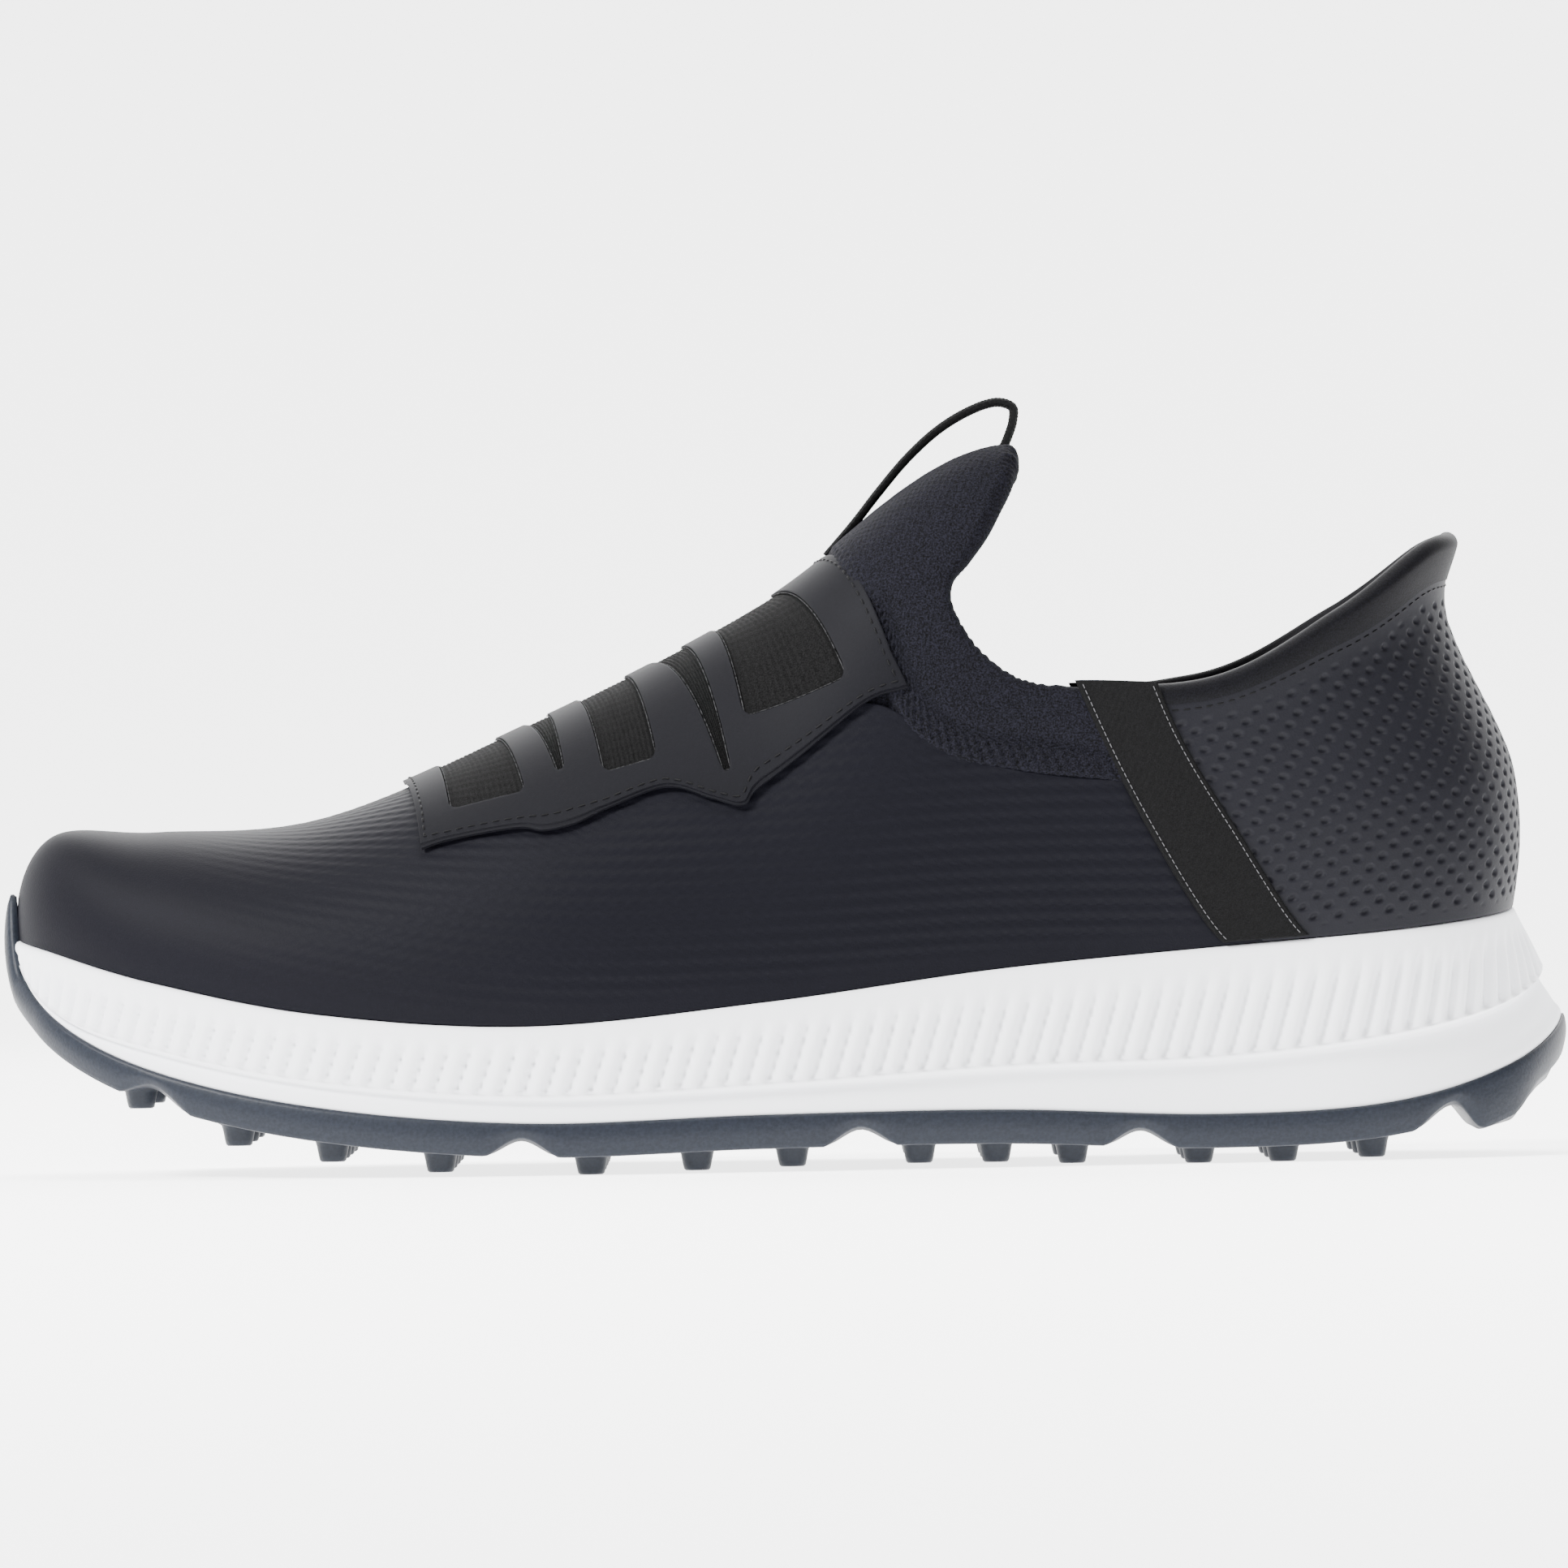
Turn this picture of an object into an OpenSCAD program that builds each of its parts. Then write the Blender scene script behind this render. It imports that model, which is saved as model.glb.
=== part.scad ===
// Slip-on golf shoe, men's size 9, left foot.
// Frame: +Z up, the toe points to -X and the outer (lateral) side to -Y.
// The origin is on the ground, at the middle of the sole's outer box.

/* [Sole] */
// Length of the feather line, where the upper meets the midsole
feather_l = 286.8; // [270:0.1:300]
// Scale of every plan width, 1 being a standard width fitting
width_fit = 1; // [0.95:0.01:1.06]
// Depth of the recess in the midsole's top that takes board and insole
recess_d = 7; // [6:0.5:8]
// Height of the outsole's side wall between its flex arches
wall_h = 6.3; // [5:0.1:7]
// How far each flex arch cuts up into that wall
arch_h = 3.6; // [2:0.1:4]
// Length of turf lug below the outsole's wall
lug_h = 3.8; // [3:0.1:5]
// Radius of a turf lug's tip
lug_r = 2.5; // [2:0.1:3]

/* [Upper] */
// Thickness of the outer synthetic
skin_t = 1.4; // [1:0.1:1.6]
// Thickness of the lining
lining_t = 1.2; // [1:0.1:1.4]
// Thickness of the elastic gore
gore_t = 0.6; // [0.4:0.1:0.6]
// Thickness of the cage film over the gore
cage_t = 0.8; // [0.6:0.1:1.2]
// Thickness of the knit collar and tongue
knit_t = 2.6; // [2:0.1:3]
// Thickness of the foam pillow behind the heel
pillow_t = 4.6; // [3:0.1:5]
// Width of the pull loop's webbing
loop_w = 8; // [7:0.5:9]
// Thickness of the pull loop's webbing
loop_t = 1.4; // [1.2:0.1:1.8]

/* [Joints] */
// How far the toes bend up at the ball
flex_max = 30; // [20:1:32]

/* [Hidden] */

gap = 0.15;              // clearance between flat glued layers
soft_gap = 0.35;         // and between curved ones
mid_x = -3.8;            // middle of the feather line
lat = -1;                // the lateral side's sign
med = 1;                 // the medial side's sign
flex_axis = [-50, 28.8]; // x and z of the hinge at the ball

// ---- guide curves, each with 11 knots from the toe (0) to the heel (1)
feather_z = [45.9, 43.1, 37, 30.7, 28, 31.8, 37.3, 40.6, 42.9, 45.2, 47.2];
rib_z = [45.5, 33.2, 25.4, 18.8, 15.5, 17.1, 19.7, 20.7, 24.2, 29.5, 36.5];
sole_z = [45.2, 31.5, 20.8, 13.5, 10, 10.9, 11, 9.4, 11, 17.5, 26.8];
ridge_z = [51, 65.4, 65.9, 68, 84, 106, 135, 130, 126, 122, 121];
top_z = [90, 90, 90, 95, 110, 108, 95, 91.6, 104.4, 116, 118.4];
half_w = [0, 18.5, 34, 45, 50, 45.5, 38, 35.5, 32.5, 20.5, 0];
top_w = [0, 20, 30, 34, 36, 35, 34.5, 34, 27.5, 15.5, 0];
centre_y = [8, 8, 6, 3, 0, -4, -5.5, -2.5, -0.5, 0, 0];
ridge_y = [8, 8, 7, 5.5, 4, 1, -1, -1.5, -0.5, 0, 0];
side_power = [2.4, 2.4, 2.4, 2.3, 2.2, 2.3, 4.4, 4.4, 2, 2, 2];
rise_power = [2.3, 2.3, 2.3, 2.2, 2, 1.5, 1.45, 1.5, 1.5, 1.5, 1.5];
rib_flare = [0, 0.8, 2, 3, 3.2, 3.2, 3.4, 4, 4.6, 5.2, 5.7];
sole_flare = [0, 0.4, 1.6, 2.6, 2.8, 2.6, 2.8, 3.6, 5, 7, 9.3];
// The heel's outline seen from the side, forward or back of the feather line
heel_curve = [0.3, 1.4, 1.9, 1.6, 0.4, -2.4, -5.9, -9.3, -11.6, -11.3, -8.6];

function smooth(t) = let(c = min(1, max(0, t))) c * c * (3 - 2 * c);
function mix(a, b, t) = a + (b - a) * t;
function unit(v) = v / norm(v);
function knot(k, i) = i < 0 ? 2 * k[0] - k[1]
  : i >= len(k) ? 2 * k[len(k) - 1] - k[len(k) - 2] : k[i];
// A smooth curve through evenly spaced knots, of numbers or points
function curve(k, t) =
  let(q = min(1, max(0, t)) * (len(k) - 1), i = min(len(k) - 2, floor(q)), f = q - i,
      a = knot(k, i - 1), b = knot(k, i), c = knot(k, i + 1), d = knot(k, i + 2))
  b + 0.5 * f * ((c - a) + f * ((2 * a - 5 * b + 4 * c - d) + f * (3 * b - 3 * c + d - a)));

function station_x(s) = mid_x - feather_l / 2 * cos(180 * s);
function station(x) = acos(max(-1, min(1, (mid_x - x) * 2 / feather_l))) / 180;
// The direction that points out of the plan outline at a station
function plan_out(s) = unit([-45 * cos(180 * s), 143 * sin(180 * s)]);
// A point e outside the feather line at height z
function rim(s, side, e, z) =
  let(o = plan_out(s))
  [station_x(s) + e * o[0],
   curve(centre_y, s) + side * (width_fit * curve(half_w, s) + e * o[1]), z];

// ---- the last: the upper's outer surface, w from -1 (lateral feather) over 0 (ridge) to 1
function last(s, w) = s < 0 ? last(-s, -w) : s > 1 ? last(2 - s, -w) :
  let(lift = 90 * (1 - abs(w)),
      rise = pow(max(0, sin(lift)), 2 / curve(rise_power, s)),
      foot = curve(feather_z, s) + 0.3,
      z = mix(foot, curve(ridge_z, s), rise),
      up = min(1.04, (z - foot) / (curve(top_z, s) - foot)),
      heel = smooth((s - 0.6) / 0.4),
      open = smooth((s - 0.61) / 0.09),
      swell = 1.4 * sin(180 * rise) * (1 - rise) * sin(180 * s),
      wide = width_fit * curve(half_w, s),
      closed_w = wide * pow(max(0, cos(lift)), 2 / curve(side_power, s)) + swell,
      lean = mix(smooth(up), curve(heel_curve, up) / curve(heel_curve, 1), heel),
      open_w = mix(wide, curve(top_w, s), lean) + 1.2 * sin(180 * min(1, up)) * (1 - heel))
  [station_x(s) + heel * curve(heel_curve, up),
   mix(curve(centre_y, s), curve(ridge_y, s), min(1, up)) + sign(w) * mix(closed_w, open_w, open), z];
function last_out(s, w) =
  let(along = last(s + 0.004, w) - last(s - 0.004, w),
      across = last(s, min(1, w + 0.01)) - last(s, max(-1, w - 0.01)),
      c = cross(along, across))
  norm(c) < 1e-9 ? unit([-1, 0, 1]) : c / norm(c);
function on_last(s, w, d) = last(s, w) + d * last_out(s, w);
// The w of a height on the last
function w_at(s, z) =
  let(foot = curve(feather_z, s) + 0.3,
      r = max(0, min(1, (z - foot) / (curve(ridge_z, s) - foot))))
  min(1, 1 - asin(pow(r, curve(rise_power, s) / 2)) / 90);

// ---- a closed solid between two grids of points of the same size
module thick(a, b, start = true, end = true, flip = false) {
  n = len(a);
  m = len(a[0]);
  pts = concat([for (r = a) each r], [for (r = b) each r]);
  k = n * m;
  quads = concat(
    [for (i = [0:n - 2], j = [0:m - 2])
      [i * m + j, i * m + j + 1, (i + 1) * m + j + 1, (i + 1) * m + j]],
    [for (i = [0:n - 2], j = [0:m - 2])
      [k + i * m + j, k + (i + 1) * m + j, k + (i + 1) * m + j + 1, k + i * m + j + 1]],
    [for (i = [0:n - 2]) [i * m, (i + 1) * m, k + (i + 1) * m, k + i * m]],
    [for (i = [0:n - 2])
      [(i + 1) * m + m - 1, i * m + m - 1, k + i * m + m - 1, k + (i + 1) * m + m - 1]],
    start ? [for (j = [0:m - 2]) [j + 1, j, k + j, k + j + 1]] : [],
    end ? [for (j = [0:m - 2]) let(r = (n - 1) * m) [r + j, r + j + 1, k + r + j + 1, k + r + j]] : []);
  tris = [for (q = quads) each [[q[0], q[1], q[2]], [q[0], q[2], q[3]]]];
  whole = [for (t = tris)
    if (pts[t[0]] != pts[t[1]] && pts[t[1]] != pts[t[2]] && pts[t[0]] != pts[t[2]])
      flip ? [t[0], t[2], t[1]] : t];
  polyhedron(pts, whole);
}

lining_d = -knit_t - gap;          // the lining's outer face, below the last's surface
inner_d = lining_d - lining_t;     // its inner face
gore_d = soft_gap + gore_t;        // the gore's outer face
cage_d = gore_d + gap;             // the cage film's inner face
front_s = station(flex_axis[0] - 0.2);
rear_s = station(flex_axis[0] + 0.2);

function steps(a, b, n) = [for (i = [0:n]) a + (b - a) * i / n];
// A layer of the upper: rows of [s, w] spots moved out to the depth d
function layer(spots, d) = [for (r = spots) [for (q = r) on_last(q[0], q[1], d)]];
module skin(spots, low, high, start = true, end = true) {
  thick(layer(spots, high), layer(spots, low), start, end, true);
}
// Spots between two guide curves of [x, w] knots, t running from -1 over the ridge to 1
function spot(k, t) = let(p = curve(k, abs(t))) [station(p[0]), (t < 0 ? lat : med) * p[1]];
function web(low, top, ts, n) =
  [for (t = ts) let(a = spot(low, t), b = spot(top, t)) [for (v = [0:n]) mix(a, b, v / n)]];

// ---- the toe bend: a wedge that opens above the hinge lets the forefoot turn
wedge_slope = tan(flex_max + 1);
function wedge_s(w, back, i = 0) = let(s = i == 0 ? front_s : back)
  i == 5 ? s : let(up = max(0, last(s, w)[2] - flex_axis[1]))
  wedge_s(w, station(flex_axis[0] - 0.2 - up * wedge_slope), i + 1);
function toe_spots(a, n, m) =
  [for (u = steps(0, a, n)) [for (w = steps(-1, 1, m)) [u * wedge_s(w, 0), w]]];
function wedge_spots(n, m) =
  [for (u = steps(0, 1, n)) [for (w = steps(-1, 1, m))
    let(a = wedge_s(w, 0) + 0.0012) [mix(a, max(a + 0.0004, rear_s - 0.0012), u), w]]];

// ---- sole: each section is a list of [e, z] from the rim inward
function section(s, pts) = concat([for (p = pts) rim(s, lat, p[0], p[1])],
  [for (i = [len(pts) - 1:-1:0]) rim(s, med, pts[i][0], pts[i][1])]);
fore_rows = [for (u = steps(0, 1, 16)) front_s * u];
rear_rows = [for (u = steps(0, 1, 44)) mix(rear_s, 1, u)];

function tip(s) = 1 - smooth(s / 0.08);
// The underside's height d inward of the rim, so that it follows the rocker lengthwise
function under(s, d) = curve(sole_z, station(station_x(s) - d * plan_out(s)[0]));
function midsole_out(s) = let(f = curve(feather_z, s), r = curve(rib_z, s), b = curve(sole_z, s),
    re = curve(rib_flare, s), be = curve(sole_flare, s))
  section(s, [[0.6, f], [mix(0.9, re, 0.5), mix(f, r, 0.5)], [re, r], [be, mix(b, r, 0.3)],
    [be, b], [be - 3, under(s, 3) - bed_h]]);
function midsole_in(s) = let(f = curve(feather_z, s))
  section(s, [[-4.6, f], [-4.6, f - recess_d / 2], [-4.6, f - recess_d], [-7, f - recess_d],
    [-9, f - recess_d], [-12, f - recess_d]]);

arches = [-120, -50, 14, 67, 126];  // x of each flex arch in the outsole's wall
arch_half = 7;                      // half the length of an arch
bumper_h = 9.3;                     // how far the outsole climbs in front of the toe
groove_h = 2.8;                     // how far the arches carry on as grooves across the underside
bed_h = 2;                          // how far the foam sinks into the outsole's tray
tray_h = bed_h + soft_gap;          // and how deep that tray is
function arch(x) = max([for (a = arches) 1 - smooth(abs(x - a) / arch_half)]);
// A block under the back of the heel
block_h = 3.6;
function block(x) = block_h * smooth((x - 127) / 5) * (1 - smooth((x - 138) / 6));
function sole_x(s, d) = station_x(s) + (curve(sole_flare, s) - d) * plan_out(s)[0];
function low_z(s) = curve(sole_z, s) - wall_h + arch_h * arch(sole_x(s, 0)) - 1.5 * tip(s)
  - block(sole_x(s, 0));
// The underside's own height, d inward of the rim
function floor_z(s, d) = under(s, d) - wall_h + groove_h * arch(sole_x(s, d)) - block(sole_x(s, d));
function outsole_out(s) = let(b = curve(sole_z, s), be = curve(sole_flare, s), z = low_z(s),
    toe_top = bumper_h * (1 - smooth(s / 0.045)), t = tip(s))
  section(s, [[be + 0.5 + 0.9 * t, b - 0.2 + toe_top], [be + 0.8 + 1.6 * t, mix(b, z, 0.3)],
    [be + 0.3 + t, z], [be - 3, floor_z(s, 3)], [be - 9, floor_z(s, 9)]]);
function outsole_in(s) = let(b = curve(sole_z, s), be = curve(sole_flare, s),
    toe_top = bumper_h * (1 - smooth(s / 0.045)), t = tip(s))
  section(s, [[be + 0.1 + 0.6 * t, b - 0.2 + toe_top], [be + 0.1 + 0.6 * t, b - 0.25],
    [be - 0.3, b - 0.7 - t], [be - 3, under(s, 3) - tray_h], [be - 3.2, under(s, 3.2) - tray_h]]);
module outsole(rows, start, end) {
  thick([for (s = rows) outsole_out(s)], [for (s = rows) outsole_in(s)], start, end);
}
module outsole_fore() color([0.22, 0.25, 0.32]) outsole(fore_rows, false, true);
module outsole_rear() color([0.22, 0.25, 0.32]) outsole(rear_rows, true, false);

// Rows of turf lugs: x, how many stand across the row
fore_lugs = [[-123, 2], [-104, 3], [-86, 4], [-65.5, 4]];
rear_lugs = [[-37, 4], [-17, 3], [1, 3], [25, 2], [39.5, 3], [54, 2], [78, 3], [94, 3], [111, 3]];
lug_inset = 7;  // from the outsole's edge to the outer lugs' centres
lug_root = 1.6; // how deep a lug is rooted in the outsole
lug_cover = 1.3; // outsole left over a lug's root, for the slope across it
module lugs(rows) {
  for (r = rows, i = [0:r[1] - 1]) {
    in = lug_inset - curve(sole_flare, station(r[0]));
    s = station(r[0] + in * plan_out(station(r[0]))[0]);
    base = floor_z(s, lug_inset);
    low = max(0, base - lug_h);
    high = min(base + lug_root, under(s, lug_inset) - tray_h - lug_cover);
    a = rim(s, lat, -in, low);
    b = rim(s, med, -in, low);
    translate(mix(a, b, i / (r[1] - 1)))
      cylinder(h = high - low, r1 = lug_r, r2 = lug_r + 0.9, $fn = 32);
  }
}
module turf_lugs_fore() color([0.18, 0.21, 0.28]) lugs(fore_lugs);
module turf_lugs_rear() color([0.18, 0.21, 0.28]) lugs(rear_lugs);

module midsole(rows, start, end) {
  thick([for (s = rows) midsole_out(s)], [for (s = rows) midsole_in(s)], start, end);
}
module midsole_fore() color([0.92, 0.93, 0.95]) midsole(fore_rows, false, true);
module midsole_rear() color([0.92, 0.93, 0.95]) midsole(rear_rows, true, false);

// ---- board and insole lie in the midsole's recess
board_t = 1.8;
insole_t = 4.6;
function plate(s, low, high, e) = let(f = curve(feather_z, s) - recess_d + low)
  [section(s, [[-4.8 - e, f], [-8 - e, f], [-14 - e, f]]),
   section(s, [[-4.8 - e, f + high], [-8 - e, f + high], [-14 - e, f + high]])];
module plates(rows, low, high, e, start, end) {
  thick([for (s = rows) plate(s, low, high, e)[0]], [for (s = rows) plate(s, low, high, e)[1]],
    start, end);
}
fore_plate = [for (u = steps(0, 1, 10)) front_s * u];
rear_plate = [for (u = steps(0, 1, 16)) mix(rear_s, 1, u)];
module lasting_board_fore() color([0.85, 0.84, 0.8]) plates(fore_plate, gap, board_t, 0, false, true);
module lasting_board_rear() color([0.85, 0.84, 0.8]) plates(rear_plate, gap, board_t, 0, true, false);
insole_low = board_t + 2 * gap;
module insole_fore() color([0.2, 0.2, 0.22]) plates(fore_plate, insole_low, insole_t, 0.2, false, true);
module insole_rear() color([0.2, 0.2, 0.22]) plates(rear_plate, insole_low, insole_t, 0.2, true, false);

// ---- toe of the upper
module vamp_toe() color([0.13, 0.13, 0.15]) skin(toe_spots(1, 12, 24), -skin_t, 0, false);
module toe_puff() color([0.8, 0.78, 0.7])
  skin(toe_spots(0.42, 8, 24), lining_d + soft_gap, -skin_t - soft_gap, false);
module lining_toe() color([0.25, 0.25, 0.27]) skin(toe_spots(1, 9, 18), inner_d, lining_d, false);
module vamp_flex_zone() color([0.13, 0.13, 0.15]) skin(wedge_spots(3, 20), -skin_t, 0);
module lining_flex_zone() color([0.25, 0.25, 0.27]) skin(wedge_spots(2, 16), inner_d, lining_d);

// ---- sides: from the ball to the side tape, up to the gore and the knit collar
side_foot = [[-49.6, 1], [-20, 1], [10, 1], [40, 1], [70, 1], [91, 1]];
side_edge = [[-49.6, 0.42], [-20, 0.44], [0, 0.48], [22, 0.54], [46, 0.685], [75, 0.705]];
near_ridge = 0.0001; // where a side's curves start, just off the ridge
module quarter(side) {
  spots = web(side_foot, side_edge, steps(side * near_ridge, side, 14), 7);
  thick(layer(spots, side < 0 ? 0 : -skin_t), layer(spots, side < 0 ? -skin_t : 0),
    true, true, true);
}
module quarter_lateral() color([0.12, 0.12, 0.14]) quarter(lat);
module quarter_medial() color([0.12, 0.12, 0.14]) quarter(med);

// The lining that wraps the instep from feather to feather
lining_back = [[9, 0], [18, 0.24], [31, 0.46], [50, 0.62], [70, 0.78], [84, 1]];
function instep_spots(n, m) = [for (u = steps(0, 1, n)) [for (t = steps(-1, 1, m))
  let(b = spot(lining_back, t)) [mix(rear_s + 0.0012, b[0], u), mix(t, b[1], u)]]];
module instep_lining() color([0.25, 0.25, 0.27]) skin(instep_spots(10, 24), inner_d, lining_d);

// ---- heel: from one side tape round the back to the other, f 0 at the feather and 1 at the rim
function rim_z(s) = mix(curve(top_z, s) - 3.8, curve(top_z, s) - 7.5, smooth((s - 0.68) / 0.2));
function heel_spot(q, f, top_s, foot_s) = let(
    s = 1 - (1 - mix(foot_s, top_s, f)) * abs(q),
    z = mix(curve(feather_z, s) + 0.3, rim_z(s), f))
  [s, (q < 0 ? lat : med) * w_at(s, z)];
function heel_spots(n, m, top_s, foot_s, low = 0, high = 1) =
  [for (q = steps(-1, 1, n)) [for (f = steps(low, high, m)) heel_spot(q, f, top_s, foot_s)]];
module heel_panel() color([0.1, 0.1, 0.11])
  skin(heel_spots(28, 8, 0.66, 0.734), -skin_t, 0);
module heel_counter() color([0.78, 0.76, 0.7])
  skin(heel_spots(28, 6, 0.76, 0.76, 0, 0.6), lining_d + soft_gap, -skin_t - soft_gap);
// The pillow swells the lining inward around the ankle
function pillow(f) = pillow_t * smooth((f - 0.42) / 0.2) * (1 - smooth((f - 0.8) / 0.18));
module heel_lining() color([0.16, 0.16, 0.18]) {
  spots = [for (q = steps(-1, 1, 28)) [for (f = steps(0, 1, 12)) concat(heel_spot(q, f, 0.69, 0.71), f)]];
  thick([for (r = spots) [for (p = r) on_last(p[0], p[1], lining_d - pillow(p[2]))]],
    [for (r = spots) [for (p = r) on_last(p[0], p[1], inner_d - pillow(p[2]))]], true, true, true);
}
module heel_pillow() color([0.3, 0.3, 0.32]) {
  spots = [for (q = steps(-0.92, 0.92, 26)) [for (f = steps(0.56, 0.84, 5))
    concat(heel_spot(q, f, 0.7, 0.72), f)]];
  thick([for (r = spots) [for (p = r) on_last(p[0], p[1], lining_d)]],
    [for (r = spots) [for (p = r) on_last(p[0], p[1], lining_d + 0.5 - pillow(p[2]))]],
    true, true, true);
}
// The binding that closes the rim, rounded over its top
function rim_spot(q, v) = let(s = 1 - (1 - 0.645) * abs(q),
    z = mix(rim_z(s) + 0.3, curve(top_z, s), v))
  [s, (q < 0 ? lat : med) * w_at(s, z)];
module collar_rim() color([0.14, 0.14, 0.16]) {
  spots = [for (q = steps(-1, 1, 30)) [for (v = steps(0, 1, 3)) concat(rim_spot(q, v), v)]];
  thick([for (r = spots) [for (p = r) on_last(p[0], p[1], 0.3 - 1.5 * pow(p[2], 3))]],
    [for (r = spots) [for (p = r) on_last(p[0], p[1], inner_d + 1.2 * pow(p[2], 3))]],
    true, true, true);
}

// ---- webbing tapes over the joint between side and heel
tape_front = [[56.3, 0.56], [83.1, 0.985]];
tape_rear = [[72.5, 0.56], [99.5, 0.985]];
tape_t = 0.8;
module tape(side) {
  spots = [for (u = steps(0, 1, 8)) [for (v = steps(0, 1, 3))
    let(p = mix(mix(tape_front[0], tape_rear[0], v), mix(tape_front[1], tape_rear[1], v), u))
    [station(p[0]), side * p[1]]]];
  thick(layer(spots, 0.42), layer(spots, 0.42 + tape_t), true, true, side < 0);
}
module side_tape_lateral() color([0.08, 0.08, 0.09]) tape(lat);
module side_tape_medial() color([0.08, 0.08, 0.09]) tape(med);

// ---- cage film: its foot, the foot of its windows and its ridge, as [x, w]
cage_foot = [[-68, 0.52], [-63, 0.515], [-50, 0.535], [-45, 0.56], [-39, 0.56], [-33, 0.54],
  [-22, 0.52], [-13, 0.565], [-7, 0.59], [-3, 0.56], [15, 0.5], [24.5, 0.51]];
window_foot = [[-69, 0.36], [-62.5, 0.41], [-48, 0.435], [-42.3, 0.4], [-40.6, 0.4], [-33.5, 0.45],
  [-23, 0.45], [-10.8, 0.52], [-9, 0.52], [-6.5, 0.42], [13.5, 0.44], [21.5, 0.44]];
window_top = [-72, -65.5, -54, -49, -44, -38.6, -29, -24.7, -18, -12.5, -0.5, 9];
top_rows = 6;
function cage_spot(k, j) = let(i = abs(j), side = j < 0 ? lat : med)
  i > top_rows ? [station(cage_foot[k][0]), side * cage_foot[k][1]]
  : let(p = mix([window_top[k], 0], window_foot[k], i / top_rows)) [station(p[0]), side * p[1]];
function is_window(k, j) = k % 2 == 1 && j >= -top_rows && j < top_rows;
module cage_overlay() color([0.05, 0.05, 0.06]) {
  n = len(window_top);
  m = 2 * top_rows + 3;
  out = [for (k = [0:n - 1], j = [-top_rows - 1:top_rows + 1])
    let(p = cage_spot(k, j)) on_last(p[0], p[1], cage_d + cage_t)];
  in = [for (k = [0:n - 1], j = [-top_rows - 1:top_rows + 1])
    let(p = cage_spot(k, j)) on_last(p[0], p[1], cage_d)];
  c = n * m;
  solid = [for (k = [0:n - 2]) [for (j = [0:m - 2]) !is_window(k, j - top_rows - 1)]];
  quads = [for (k = [0:n - 2], j = [0:m - 2]) if (solid[k][j])
    let(a = k * m + j, b = a + 1, d = a + m, e = d + 1)
    each [[a, b, e, d], [c + a, c + d, c + e, c + b],
      if (k == 0 || !solid[k - 1][j]) [b, a, c + a, c + b],
      if (k == n - 2 || !solid[k + 1][j]) [d, e, c + e, c + d],
      if (j == 0 || !solid[k][j - 1]) [a, d, c + d, c + a],
      if (j == m - 2 || !solid[k][j + 1]) [e, b, c + b, c + e]]];
  polyhedron(concat(out, in), [for (q = quads) each [[q[0], q[2], q[1]], [q[0], q[3], q[2]]]]);
}
// The elastic gore fills every window from behind, out to part of the way under the cage's rim
gore_reach = 0.5;
function gore_point(k, j, d) = let(p = cage_spot(k, j)) on_last(p[0], p[1], d);
function gore_layer(d) = [for (k = [0:len(window_top) - 1]) [for (j = [-top_rows - 1:top_rows + 1])
  abs(j) > top_rows
    ? mix(gore_point(k, sign(j) * top_rows, d), gore_point(k, j, d), gore_reach)
    : gore_point(k, j, d)]];
module elastic_gore() color([0.07, 0.07, 0.08])
  thick(gore_layer(gore_d), gore_layer(soft_gap), true, true, true);

// ---- knit: the collar band wraps the instep, the tongue stands above it
collar_low = [[11, 0], [16, 0.24], [22, 0.4], [25, 0.53], [47, 0.676], [64.5, 0.695]];
collar_top = [[14.2, 0], [21, 0.28], [31.5, 0.42], [37.5, 0.49], [46, 0.55], [56, 0.558]];
module knit_collar() color([0.1, 0.1, 0.13])
  skin(web(collar_low, collar_top, steps(-1, 1, 40), 5), -knit_t, 0);
tongue_rise = 1.2; // how far the tongue stands proud of the collar
tongue_low = [[17.5, 0], [24.5, 0.19], [33, 0.372]];
tongue_top = [[43.9, 0], [42.3, 0.185], [36, 0.33]];
module tongue() color([0.1, 0.1, 0.13])
  skin(web(tongue_low, tongue_top, steps(-1, 1, 20), 6), tongue_rise - knit_t, tongue_rise);
foam_t = 2.2;
foam_low = [[19.5, 0], [25.5, 0.17], [32.5, 0.33]];
foam_top = [[41, 0], [40, 0.16], [35, 0.3]];
module tongue_foam() color([0.35, 0.35, 0.37])
  skin(web(foam_low, foam_top, steps(-1, 1, 20), 4), tongue_rise - knit_t - soft_gap - foam_t,
    tongue_rise - knit_t - soft_gap);
bend_low = [[14.8, 0], [21.6, 0.275], [31.6, 0.408]];
bend_top = [[17, 0], [24.1, 0.2], [32.6, 0.382]];
module knit_bend_zone() color([0.1, 0.1, 0.13])
  skin(web(bend_low, bend_top, steps(-1, 1, 16), 1), -knit_t + 0.2, -0.2);

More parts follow.
